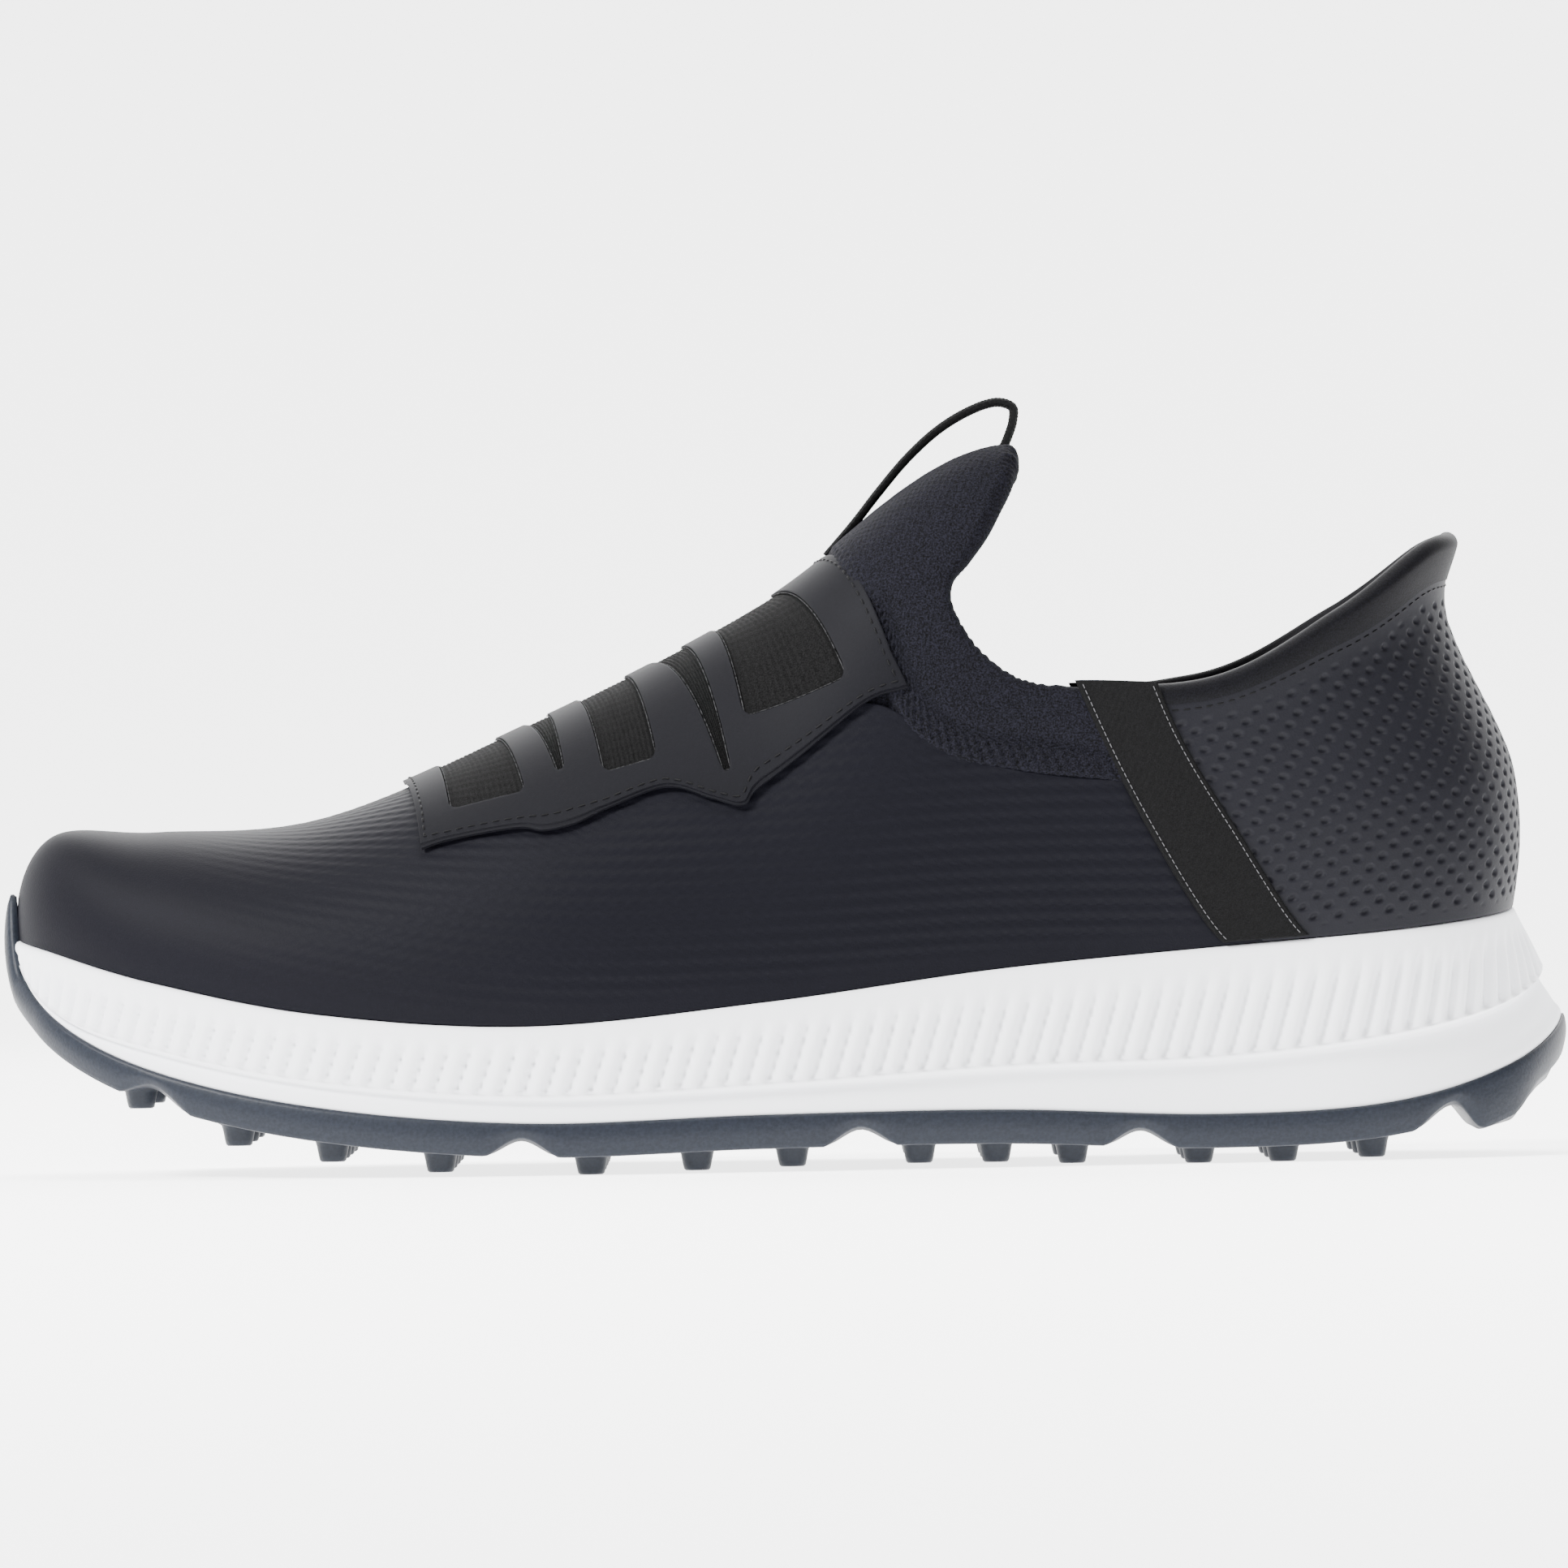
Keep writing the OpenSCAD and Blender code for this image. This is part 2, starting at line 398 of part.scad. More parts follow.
// ---- pull loop, from the front tab to the rear tab on the tongue
loop_path = [[15.5, 124.3], [19, 129.5], [25, 136.2], [31, 141.2], [37, 144.2], [42.5, 145.8],
  [45.7, 145], [45.7, 142.4], [44.9, 139.9]];
loop_hinge = [[14, 121.9], [44.4, 138.5]];
loop_line = unit(loop_hinge[1] - loop_hinge[0]);
function loop_rise(p) = (p - loop_hinge[0]) * [-loop_line[1], loop_line[0]];
module pull_loop() color([0.09, 0.09, 0.1]) {
  rows = [for (t = steps(0, 1, 26)) let(p = curve(loop_path, t), d = 0.01,
      along = unit(curve(loop_path, min(1, t + d)) - curve(loop_path, max(0, t - d))),
      half = min(loop_w / 2, max(1, loop_rise(p) * 1.1)), out = [-along[1], along[0]] * loop_t / 2)
    [p, out, half]];
  thick([for (r = rows) [for (y = [-1, 1]) let(p = r[0] + r[1]) [p[0], y * r[2], p[1]]]],
    [for (r = rows) [for (y = [-1, 1]) let(p = r[0] - r[1]) [p[0], y * r[2], p[1]]]],
    true, true, false);
}
// A tab of webbing sewn flat on the tongue's ridge, h being its half width as w
tab_t = 0.5;
module tab(a, b, h) {
  skin([for (u = steps(0, 1, 3)) [for (y = steps(-h, h, 2)) [station(mix(a, b, u)), y]]],
    tongue_rise + 0.2, tongue_rise + 0.2 + tab_t);
}
module loop_tab_front() color([0.09, 0.09, 0.1]) tab(17.9, 21, 0.02);
module loop_tab_rear() color([0.09, 0.09, 0.1]) tab(40.5, 43.7, 0.02);

outsole_fore();
outsole_rear();
turf_lugs_fore();
turf_lugs_rear();
midsole_fore();
midsole_rear();
lasting_board_fore();
lasting_board_rear();
insole_fore();
insole_rear();
vamp_toe();
vamp_flex_zone();
toe_puff();
lining_toe();
lining_flex_zone();
instep_lining();
quarter_lateral();
quarter_medial();
heel_panel();
heel_counter();
heel_pillow();
heel_lining();
collar_rim();
side_tape_lateral();
side_tape_medial();
elastic_gore();
cage_overlay();
knit_collar();
knit_bend_zone();
tongue();
tongue_foam();
loop_tab_front();
loop_tab_rear();
pull_loop();
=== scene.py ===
"""Slip-on golf shoe, left foot: fabric, foam, rubber and stitching in the CAD part's frame.

Lengths are in millimetres up to the point where a mesh is made. The guide curves are the part's own,
so every layer lies on the same last: s runs from the toe (0) to the heel (1), and w from the lateral
feather line (-1) over the ridge (0) to the medial one (1).
"""
import math

import bmesh
import bpy
import numpy as np
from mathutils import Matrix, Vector


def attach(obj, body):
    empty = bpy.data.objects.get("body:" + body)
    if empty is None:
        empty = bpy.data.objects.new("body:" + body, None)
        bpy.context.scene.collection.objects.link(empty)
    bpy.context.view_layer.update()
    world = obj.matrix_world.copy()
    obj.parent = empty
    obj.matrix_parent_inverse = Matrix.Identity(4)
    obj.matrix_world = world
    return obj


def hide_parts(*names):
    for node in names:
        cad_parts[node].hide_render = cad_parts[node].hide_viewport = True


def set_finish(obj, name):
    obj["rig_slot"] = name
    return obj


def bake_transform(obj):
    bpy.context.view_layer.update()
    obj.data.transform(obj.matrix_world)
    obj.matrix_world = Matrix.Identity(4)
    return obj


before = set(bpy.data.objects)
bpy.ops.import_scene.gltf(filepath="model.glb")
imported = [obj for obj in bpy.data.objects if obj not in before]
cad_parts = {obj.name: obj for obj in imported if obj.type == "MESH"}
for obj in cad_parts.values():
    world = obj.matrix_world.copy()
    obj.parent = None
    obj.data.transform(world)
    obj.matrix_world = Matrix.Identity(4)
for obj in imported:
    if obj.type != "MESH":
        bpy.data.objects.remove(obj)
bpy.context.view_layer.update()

MM = 0.001
LAT, MED = -1, 1

# ---- the last, as in the CAD part
FEATHER_L = 286.8
MID_X = -3.8
RECESS = 7.0
FEATHER_GAP = 0.3
WALL_H = 6.3
ARCH_H = 3.6
GROOVE_H = 2.8
LUG_H = 3.8
FEATHER_Z = [45.9, 43.1, 37, 30.7, 28, 31.8, 37.3, 40.6, 42.9, 45.2, 47.2]
RIB_Z = [45.5, 33.2, 25.4, 18.8, 15.5, 17.1, 19.7, 20.7, 24.2, 29.5, 36.5]
SOLE_Z = [45.2, 31.5, 20.8, 13.5, 10, 10.9, 11, 9.4, 11, 17.5, 26.8]
RIDGE_Z = [51, 65.4, 65.9, 68, 84, 106, 135, 130, 126, 122, 121]
TOP_Z = [90, 90, 90, 95, 110, 108, 95, 91.6, 104.4, 116, 118.4]
HALF_W = [0, 18.5, 34, 45, 50, 45.5, 38, 35.5, 32.5, 20.5, 0]
TOP_W = [0, 20, 30, 34, 36, 35, 34.5, 34, 27.5, 15.5, 0]
CENTRE_Y = [8, 8, 6, 3, 0, -4, -5.5, -2.5, -0.5, 0, 0]
RIDGE_Y = [8, 8, 7, 5.5, 4, 1, -1, -1.5, -0.5, 0, 0]
SIDE_POWER = [2.4, 2.4, 2.4, 2.3, 2.2, 2.3, 4.4, 4.4, 2, 2, 2]
RISE_POWER = [2.3, 2.3, 2.3, 2.2, 2, 1.5, 1.45, 1.5, 1.5, 1.5, 1.5]
RIB_FLARE = [0, 0.8, 2, 3, 3.2, 3.2, 3.4, 4, 4.6, 5.2, 5.7]
SOLE_FLARE = [0, 0.4, 1.6, 2.6, 2.8, 2.6, 2.8, 3.6, 5, 7, 9.3]
HEEL_CURVE = [0.3, 1.4, 1.9, 1.6, 0.4, -2.4, -5.9, -9.3, -11.6, -11.3, -8.6]


def smooth(t):
    c = np.clip(t, 0, 1)
    return c * c * (3 - 2 * c)


def mix(a, b, t):
    return a + (b - a) * t


def curve(knots, t):
    """A smooth curve through evenly spaced knots, of numbers or points."""
    k = np.asarray(knots, float)
    t = np.asarray(t, float)
    q = np.clip(t, 0, 1) * (len(k) - 1)
    i = np.minimum(len(k) - 2, np.floor(q).astype(int))
    f = q - i
    p = np.concatenate([[2 * k[0] - k[1]], k, [2 * k[-1] - k[-2]]])
    if k.ndim == 2:
        f = f[..., None]
    a, b, c, d = p[i], p[i + 1], p[i + 2], p[i + 3]
    return b + 0.5 * f * ((c - a) + f * ((2 * a - 5 * b + 4 * c - d) + f * (3 * b - 3 * c + d - a)))


def station_x(s):
    return MID_X - FEATHER_L / 2 * np.cos(np.pi * s)


def station(x):
    return np.arccos(np.clip((MID_X - np.asarray(x, float)) * 2 / FEATHER_L, -1, 1)) / np.pi


def foot_z(s):
    """Where the upper meets the midsole."""
    return curve(FEATHER_Z, s) + FEATHER_GAP


def last(s, w):
    s, w = np.broadcast_arrays(np.asarray(s, float), np.asarray(w, float))
    w = np.where((s < 0) | (s > 1), -w, w)
    s = np.where(s < 0, -s, np.where(s > 1, 2 - s, s))
    lift = np.radians(90 * (1 - np.abs(w)))
    rise = np.maximum(0, np.sin(lift)) ** (2 / curve(RISE_POWER, s))
    foot = foot_z(s)
    z = mix(foot, curve(RIDGE_Z, s), rise)
    up = np.minimum(1.04, (z - foot) / (curve(TOP_Z, s) - foot))
    heel = smooth((s - 0.6) / 0.4)
    opening = smooth((s - 0.61) / 0.09)
    swell = 1.4 * np.sin(np.pi * rise) * (1 - rise) * np.sin(np.pi * s)
    wide = curve(HALF_W, s)
    closed_w = wide * np.maximum(0, np.cos(lift)) ** (2 / curve(SIDE_POWER, s)) + swell
    lean = mix(smooth(up), curve(HEEL_CURVE, up) / HEEL_CURVE[-1], heel)
    open_w = mix(wide, curve(TOP_W, s), lean) + 1.2 * np.sin(np.pi * np.minimum(1, up)) * (1 - heel)
    x = station_x(s) + heel * curve(HEEL_CURVE, up)
    middle = mix(curve(CENTRE_Y, s), curve(RIDGE_Y, s), np.minimum(1, up))
    y = middle + np.sign(w) * mix(closed_w, open_w, opening)
    return np.stack([x, y, z], -1)


def last_out(s, w):
    a = last(s + 0.004, w) - last(s - 0.004, w)
    b = last(s, np.minimum(1, w + 0.01)) - last(s, np.maximum(-1, w - 0.01))
    c = np.cross(a, b)
    n = np.linalg.norm(c, axis=-1, keepdims=True)
    flat = np.array([-1, 0, 1]) / math.sqrt(2)
    return np.where(n < 1e-9, flat, c / np.maximum(n, 1e-9))


def on_last(s, w, d):
    return last(s, w) + np.asarray(d, float)[..., None] * last_out(s, w)


def w_at(s, z):
    foot = foot_z(s)
    r = np.clip((z - foot) / (curve(RIDGE_Z, s) - foot), 0, 1)
    return np.minimum(1, 1 - np.degrees(np.arcsin(r ** (curve(RISE_POWER, s) / 2))) / 90)


def plan_out(s):
    o = np.stack([-45 * np.cos(np.pi * s), 143 * np.sin(np.pi * s)], -1)
    return o / np.linalg.norm(o, axis=-1, keepdims=True)


def rim(s, side, e, z):
    """A point e outside the feather line at height z."""
    s, side, e, z = np.broadcast_arrays(s, side, np.asarray(e, float), np.asarray(z, float))
    o = plan_out(s)
    x = station_x(s) + e * o[..., 0]
    y = curve(CENTRE_Y, s) + side * (curve(HALF_W, s) + e * o[..., 1])
    return np.stack([x, y, z], -1)


def under(s, d):
    """The underside's height d inward of the rim, so that it follows the rocker lengthwise."""
    return curve(SOLE_Z, station(station_x(s) - d * plan_out(s)[..., 0]))


# ---- meshes from grids of points
def grid_faces(n, m, start=0, wrap=False):
    i, j = np.meshgrid(np.arange(n if wrap else n - 1), np.arange(m - 1), indexing="ij")
    a, b = i * m + j, ((i + 1) % n) * m + j
    return (start + np.stack([a, a + 1, b + 1, b], -1)).reshape(-1, 4)


def make(name, grids, material, slot, wrap=False, merge=False, flip=False):
    """One smooth mesh from grids of points, given as arrays (rows, columns, 3) or (points, faces)."""
    points, faces, count = [], [], 0
    for g in grids:
        if isinstance(g, tuple):
            pts, f = g
            points.append(pts)
            faces.append(f + count)
        else:
            pts = g.reshape(-1, 3)
            points.append(pts)
            faces.append(grid_faces(g.shape[0], g.shape[1], count, wrap))
        count += len(pts)
    pts, quads = np.concatenate(points) * MM, np.concatenate(faces)
    if flip:
        quads = quads[:, ::-1]
    mesh = bpy.data.meshes.new(name)
    mesh.vertices.add(len(pts))
    mesh.vertices.foreach_set("co", pts.astype(np.float32).ravel())
    mesh.loops.add(quads.size)
    mesh.loops.foreach_set("vertex_index", quads.astype(np.int32).ravel())
    mesh.polygons.add(len(quads))
    mesh.polygons.foreach_set("loop_start", np.arange(0, quads.size, 4, dtype=np.int32))
    mesh.update(calc_edges=True)
    if merge:
        bm = bmesh.new()
        bm.from_mesh(mesh)
        bmesh.ops.remove_doubles(bm, verts=bm.verts, dist=2e-6)
        bm.to_mesh(mesh)
        bm.free()
    mesh.validate()
    mesh.shade_smooth()
    mesh.materials.append(material)
    obj = bpy.data.objects.new(name, mesh)
    bpy.context.scene.collection.objects.link(obj)
    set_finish(obj, slot)
    return obj


def skirt(points, inward, sides="abcd"):
    """The grid with its borders folded in: a and b are the first and last row, c and d the columns."""
    p, q = points, inward
    if "a" in sides:
        p, q = np.concatenate([q[:1], p]), np.concatenate([q[:1], q])
    if "b" in sides:
        p, q = np.concatenate([p, q[-1:]]), np.concatenate([q, q[-1:]])
    if "c" in sides:
        p, q = np.concatenate([q[:, :1], p], 1), np.concatenate([q[:, :1], q], 1)
    if "d" in sides:
        p, q = np.concatenate([p, q[:, -1:]], 1), np.concatenate([q, q[:, -1:]], 1)
    return p


def ease_edges(shape, depth, sides="abcd"):
    """How far each point of a panel sinks so that its cut edges look rolled."""
    d = np.zeros(shape)
    if "a" in sides:
        d[0] += depth
        d[1] += depth * 0.25
    if "b" in sides:
        d[-1] += depth
        d[-2] += depth * 0.25
    if "c" in sides:
        d[:, 0] += depth
        d[:, 1] += depth * 0.25
    if "d" in sides:
        d[:, -1] += depth
        d[:, -2] += depth * 0.25
    return np.minimum(d, depth)


def panel(s, w, d, thick, sides="abcd", rolled=0.3):
    s, w, d = np.broadcast_arrays(s, w, d)
    outer = on_last(s, w, d - ease_edges(s.shape, rolled, sides))
    return skirt(outer, on_last(s, w, d - thick), sides)


def arc(points, axis):
    """Length along a grid's rows or columns."""
    step = np.linalg.norm(np.diff(points, axis=axis), axis=-1)
    zero = np.zeros_like(np.take(step, [0], axis))
    return np.concatenate([zero, np.cumsum(step, axis)], axis)


GIRTH_S = np.linspace(0, 1, 401)
GIRTH_W = np.linspace(0, 1, 301)
GIRTH = {side: arc(last(GIRTH_S[:, None], side * (1 - GIRTH_W[None])), 1) for side in (LAT, MED)}


def girth_at(s, w, side):
    """Length over the last from the feather line up to a spot."""
    table = GIRTH[side]
    a = np.clip(s, 0, 1) * (len(GIRTH_S) - 1)
    b = np.clip(1 - np.abs(w), 0, 1) * (len(GIRTH_W) - 1)
    i, j = np.minimum(a.astype(int), len(GIRTH_S) - 2), np.minimum(b.astype(int), len(GIRTH_W) - 2)
    f, g = a - i, b - j
    return mix(mix(table[i, j], table[i + 1, j], f), mix(table[i, j + 1], table[i + 1, j + 1], f), g)


def tube(path, r, sides=8):
    """A round cord along a path, its ends closed to a point."""
    path = np.asarray(path, float)
    t = np.gradient(path, axis=0)
    t /= np.linalg.norm(t, axis=1, keepdims=True)
    up = np.where(np.abs(t[:, 2:3]) > 0.9, [[1.0, 0, 0]], [[0, 0, 1.0]])
    a = np.cross(t, up)
    a /= np.linalg.norm(a, axis=1, keepdims=True)
    b = np.cross(t, a)
    ang = np.linspace(0, 2 * np.pi, sides + 1)
    radius = np.full(len(path), float(r))
    radius[0] = radius[-1] = r * 0.05
    ring = np.cos(ang)[None, :, None] * a[:, None] + np.sin(ang)[None, :, None] * b[:, None]
    return path[:, None] + radius[:, None, None] * ring


def stitches(path, out, pitch=2.6, share=0.68, r=0.24):
    """Short rounded stitches along a path, each dipping into the fabric at both ends."""
    path, out = np.asarray(path, float), np.asarray(out, float)
    run = np.concatenate([[0], np.cumsum(np.linalg.norm(np.diff(path, axis=0), axis=1))])
    grids = []
    u = np.linspace(0, 1, 7)
    for a in np.arange(0.3, run[-1] - pitch, pitch):
        at = a + u * pitch * share
        line = np.stack([np.interp(at, run, path[:, i]) for i in range(3)], 1)
        n = np.stack([np.interp(at, run, out[:, i]) for i in range(3)], 1)
        grids.append(tube(line + n * (0.45 * r * np.sin(np.pi * u) - 0.3 * r)[:, None], r, 6))
    return grids


def along(s, w, d):
    """A path on the last and its outward directions."""
    s, w, d = np.broadcast_arrays(np.asarray(s, float), w, d)
    return on_last(s, w, d), last_out(s, w)


# ---- materials
def material(name, colour, rough, bump=0.0, scale=2000.0, spec=0.5, tint=0.0):
    """A plain shader, with fine procedural bump and speckle on the object's own coordinates."""
    mat = bpy.data.materials.new(name)
    mat.use_nodes = True
    tree = mat.node_tree
    shader = tree.nodes["Principled BSDF"]
    shader.inputs["Base Color"].default_value = (*colour, 1)
    shader.inputs["Roughness"].default_value = rough
    shader.inputs["Specular IOR Level"].default_value = spec
    if bump or tint:
        where = tree.nodes.new("ShaderNodeTexCoord")
        grain = tree.nodes.new("ShaderNodeTexNoise")
        grain.inputs["Scale"].default_value = scale
        grain.inputs["Detail"].default_value = 3
        tree.links.new(where.outputs["Object"], grain.inputs["Vector"])
    if bump:
        relief = tree.nodes.new("ShaderNodeBump")
        relief.inputs["Strength"].default_value = bump
        relief.inputs["Distance"].default_value = 0.0003
        tree.links.new(grain.outputs["Fac"], relief.inputs["Height"])
        tree.links.new(relief.outputs["Normal"], shader.inputs["Normal"])
    if tint:
        ramp = tree.nodes.new("ShaderNodeValToRGB")
        ramp.color_ramp.elements[0].position = 0.35
        ramp.color_ramp.elements[0].color = (*[c * (1 - tint) for c in colour], 1)
        ramp.color_ramp.elements[1].position = 0.65
        ramp.color_ramp.elements[1].color = (*[min(1, c * (1 + tint)) for c in colour], 1)
        tree.links.new(grain.outputs["Fac"], ramp.inputs["Fac"])
        tree.links.new(ramp.outputs["Color"], shader.inputs["Base Color"])
    return mat


SYNTHETIC = material("vamp synthetic", (0.003, 0.003, 0.0052), 0.6, bump=0.15, scale=2600, spec=0.075)
HEEL_SKIN = material("heel synthetic", (0.0052, 0.0052, 0.0078), 0.55, bump=0.12, scale=2600, spec=0.13)
FILM = material("cage film", (0.0038, 0.0038, 0.0054), 0.6, bump=0.08, scale=3000, spec=0.075)
ELASTIC = material(
    "ribbed elastic", (0.0035, 0.0035, 0.0036), 0.85, bump=0.4, scale=3500, spec=0.08, tint=0.9
)
KNIT = material("padded knit", (0.0042, 0.0042, 0.0068), 0.88, bump=0.5, scale=3000, spec=0.1, tint=0.95)
LINING = material("lining mesh", (0.008, 0.008, 0.01), 0.85, bump=0.4, scale=2500, spec=0.15)
BINDING = material("rim binding", (0.0024, 0.0024, 0.0035), 0.6, bump=0.25, scale=3500, spec=0.08, tint=0.6)
WEBBING = material("webbing", (0.0028, 0.0028, 0.003), 0.78, bump=0.35, scale=4500, spec=0.1, tint=0.7)
THREAD = material("black thread", (0.0025, 0.0025, 0.003), 0.6, spec=0.12)
PALE_THREAD = material("pale thread", (0.09, 0.09, 0.095), 0.8, spec=0.15)
FRAY = material("cut elastic edge", (0.022, 0.022, 0.023), 0.9, tint=0.9, scale=1500, spec=0.1)
EVA = material("white midsole foam", (0.88, 0.89, 0.92), 0.6, bump=0.06, scale=1800, spec=0.3)
SLATE = (0.0108, 0.0132, 0.0192)
LUG_SLATE = (0.0092, 0.0114, 0.0168)
RUBBER = material("slate rubber", SLATE, 0.45, bump=0.2, scale=1600, tint=0.16, spec=0.16)
LUG_RUBBER = material("lug rubber", LUG_SLATE, 0.42, bump=0.2, scale=1600, tint=0.12, spec=0.16)
INSOLE = material("insole cover", (0.01, 0.01, 0.012), 0.85, bump=0.4, scale=1800, spec=0.15)
BOARD = material("lasting board", (0.62, 0.6, 0.55), 0.9, bump=0.3, scale=1500)
STIFFENER = material("moulded stiffener", (0.6, 0.57, 0.5), 0.7)


def bend_at_ball(obj):
    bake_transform(obj)
    return obj


# ---- sole
def loop_s(n):
    """Stations and sides once round the sole, closer together at the ends."""
    p = np.linspace(0, 2, 2 * n, endpoint=False)
    s = np.where(p <= 1, p, 2 - p)
    return s[:, None], np.where(p <= 1, LAT, MED)[:, None].astype(float)


def rings(s, side, cols):
    """Once round the sole for each pair in cols: how far outside the feather line, and the height."""
    loops = []
    for e, z in cols:
        e, z = np.broadcast_to(e, s.shape), np.broadcast_to(z, s.shape)
        loops.append(rim(s[:, 0], side[:, 0], e[:, 0], z[:, 0]))
    return loops


def toe_tip(s):
    return 1 - smooth(s / 0.08)


def midsole():
    s, side = loop_s(560)
    f, r, b = curve(FEATHER_Z, s), curve(RIB_Z, s), curve(SOLE_Z, s)
    re, be = curve(RIB_FLARE, s), curve(SOLE_FLARE, s)
    run = arc(rim(s, side, re, r), 0)
    ends = smooth((s - 0.01) / 0.05) * smooth((1 - s) / 0.03)
    cols = []
    for e, dz in ((-4.6, -6.5), (-4.6, -0.4), (-4.3, 0.0), (-0.2, 0.15), (0.45, -0.05)):
        cols.append((e + 0 * s, f + dz + 0 * s))
    pitch, slant = 4.3, 0.35
    for v in np.linspace(0.02, 1, 22):
        z = mix(f - 0.4, r, v)
        e = mix(0.75, re, v**1.2) + 0.35 * np.sin(np.pi * v)
        rib = np.abs(np.sin(np.pi * (run + slant * (f - z)) / pitch)) ** 0.75
        e = e - 1.7 * (1 - rib) * smooth((v - 0.12) / 0.4) * smooth((1.03 - v) / 0.05) * ends
        cols.append((e, z))
    lobe = [(0.25, -0.5), (-0.6, -1.1), (-1.6, -1.5)]
    for de, dz in lobe:
        cols.append((re + de, r + dz * smooth((r - b) / 3)))
    for v in np.linspace(0.08, 1, 12):
        z = mix(r - 1.5 * smooth((r - b) / 3), b, v)
        e = mix(re - 1.6, be, smooth(v * 0.7 + 0.1)) + 0.4 * np.sin(np.pi * v)
        cols.append((mix(e, be, smooth((v - 0.7) / 0.3)), z))
    cols.append((be - 0.4, b - 0.4))
    cols.append((be - 2.5, b - 0.6))
    grid = np.stack(rings(s, side, cols), 1)
    o = make("midsole_foam", [grid], EVA, "midsole_foam", wrap=True)
    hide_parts("midsole_fore", "midsole_rear")
    return bend_at_ball(o)


ARCHES = [-120, -50, 14, 67, 126]
ARCH_HALF = 7
BLOCK_H = 3.6
BUMPER_H = 9.3


def arch(x):
    return np.max([1 - smooth(np.abs(x - a) / ARCH_HALF) for a in ARCHES], axis=0)


def block(x):
    """The drop of the tread block under the back of the heel."""
    return BLOCK_H * smooth((x - 127) / 5) * (1 - smooth((x - 138) / 6))


def sole_x(s, d):
    return station_x(s) + (curve(SOLE_FLARE, s) - d) * plan_out(s)[..., 0]


def floor_z(s, d):
    """The outsole's underside d inward of the rim, with the arches carried across as grooves."""
    return under(s, d) - WALL_H + GROOVE_H * arch(sole_x(s, d)) - block(sole_x(s, d))


def outsole():
    s, side = loop_s(420)
    b, be, t = curve(SOLE_Z, s), curve(SOLE_FLARE, s), toe_tip(s)
    low = b - WALL_H + ARCH_H * arch(sole_x(s, 0)) ** 0.7 - 1.5 * t - block(sole_x(s, 0))
    top = b - 0.1 + BUMPER_H * (1 - smooth(s / 0.045))
    cols = [(be - 1.5 + 1.6 * t, top - 0.5), (be + 0.1 + 0.6 * t, top), (be + 0.45 + 0.85 * t, top - 0.05)]
    for v in np.linspace(0.1, 1, 9):
        bulge = (0.45 + 0.7 * t) * np.sin(np.pi * v)
        cols.append((mix(be + 0.6 + 1.0 * t, be + 0.4 + t, v) + bulge, mix(top - 0.2, low, v)))
    cols.append((be - 0.3 + t, low - 0.25))
    cols.append((be - 1.8 + 0.5 * t, mix(low - 0.3, floor_z(s, 3), 0.6)))
    for d in (3, 5, 7, 9):
        cols.append((be - d, floor_z(s, d)))
    rows = rings(s, side, cols)
    edge = rows[-1]
    mirror = rim(s[:, 0], -side[:, 0], be[:, 0] - 9, edge[:, 2])
    centre = (edge + mirror) / 2
    for v in (0.25, 0.5, 0.75, 1.0):
        rows.append(mix(edge, centre, v))
    grid = np.stack(rows, 1)
    o = make("outsole_rubber", [grid], RUBBER, "rubber", wrap=True)
    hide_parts("outsole_fore", "outsole_rear")
    return bend_at_ball(o)


FORE_LUGS = [(-123, 2), (-104, 3), (-86, 4), (-65.5, 4)]
REAR_LUGS = [(-37, 4), (-17, 3), (1, 3), (25, 2), (39.5, 3), (54, 2), (78, 3), (94, 3), (111, 3)]
LUG_INSET = 7
# A lug's outline from its hollow tip up to the root: radius, height
LUG_PROFILE = [
    (0.01, 0.45), (1.1, 0.4), (1.6, 0.05), (2.15, 0.0), (2.5, 0.3),
    (2.72, 1.2), (3.05, 3.0), (3.3, 3.9), (4.1, 4.4), (4.6, 5.2),
]


def turf_lugs():
    grids = []
    ang = np.linspace(0, 2 * np.pi, 33)
    for x, count in FORE_LUGS + REAR_LUGS:
        e = curve(SOLE_FLARE, station(x)) - LUG_INSET
        s = station(x - e * plan_out(station(x))[0])
        base = floor_z(s, LUG_INSET)
        low = max(0.0, float(base) - LUG_H)
        a, b = rim(s, LAT, e, low), rim(s, MED, e, low)
        for i in range(count):
            c = mix(a, b, i / (count - 1))
            k = (float(base) - low + 0.6) / 4.4
            grids.append(np.stack([
                np.stack([c[0] + r * np.cos(ang), c[1] + r * np.sin(ang), 0 * ang + c[2] + h * k], 1)
                for r, h in LUG_PROFILE
            ]))
    o = make("turf_lugs", grids, LUG_RUBBER, "lug_rubber")
    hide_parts("turf_lugs_fore", "turf_lugs_rear")
    return bend_at_ball(o)


def plate(name, low, high, e, cup, mat, slot, nodes):
    """A layer lying in the midsole's recess, its edge cupped up by cup."""
    s = np.linspace(0, 1, 220)
    f = curve(FEATHER_Z, s) - RECESS
    across = np.concatenate([[0], np.linspace(0, 1, 41), [1]])
    a = rim(s, LAT, -4.8 - e, f + high)
    b = rim(s, MED, -4.8 - e, f + high)
    grid = a[:, None] + (b - a)[:, None] * across[None, :, None]
    edge = np.abs(across * 2 - 1)
    grid[..., 2] += cup * smooth((edge - 0.7) / 0.3)[None]
    grid[:, 0, 2] = f + low
    grid[:, -1, 2] = f + low
    o = make(name, [grid], mat, slot, merge=True)
    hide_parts(*nodes)
    return bend_at_ball(o)


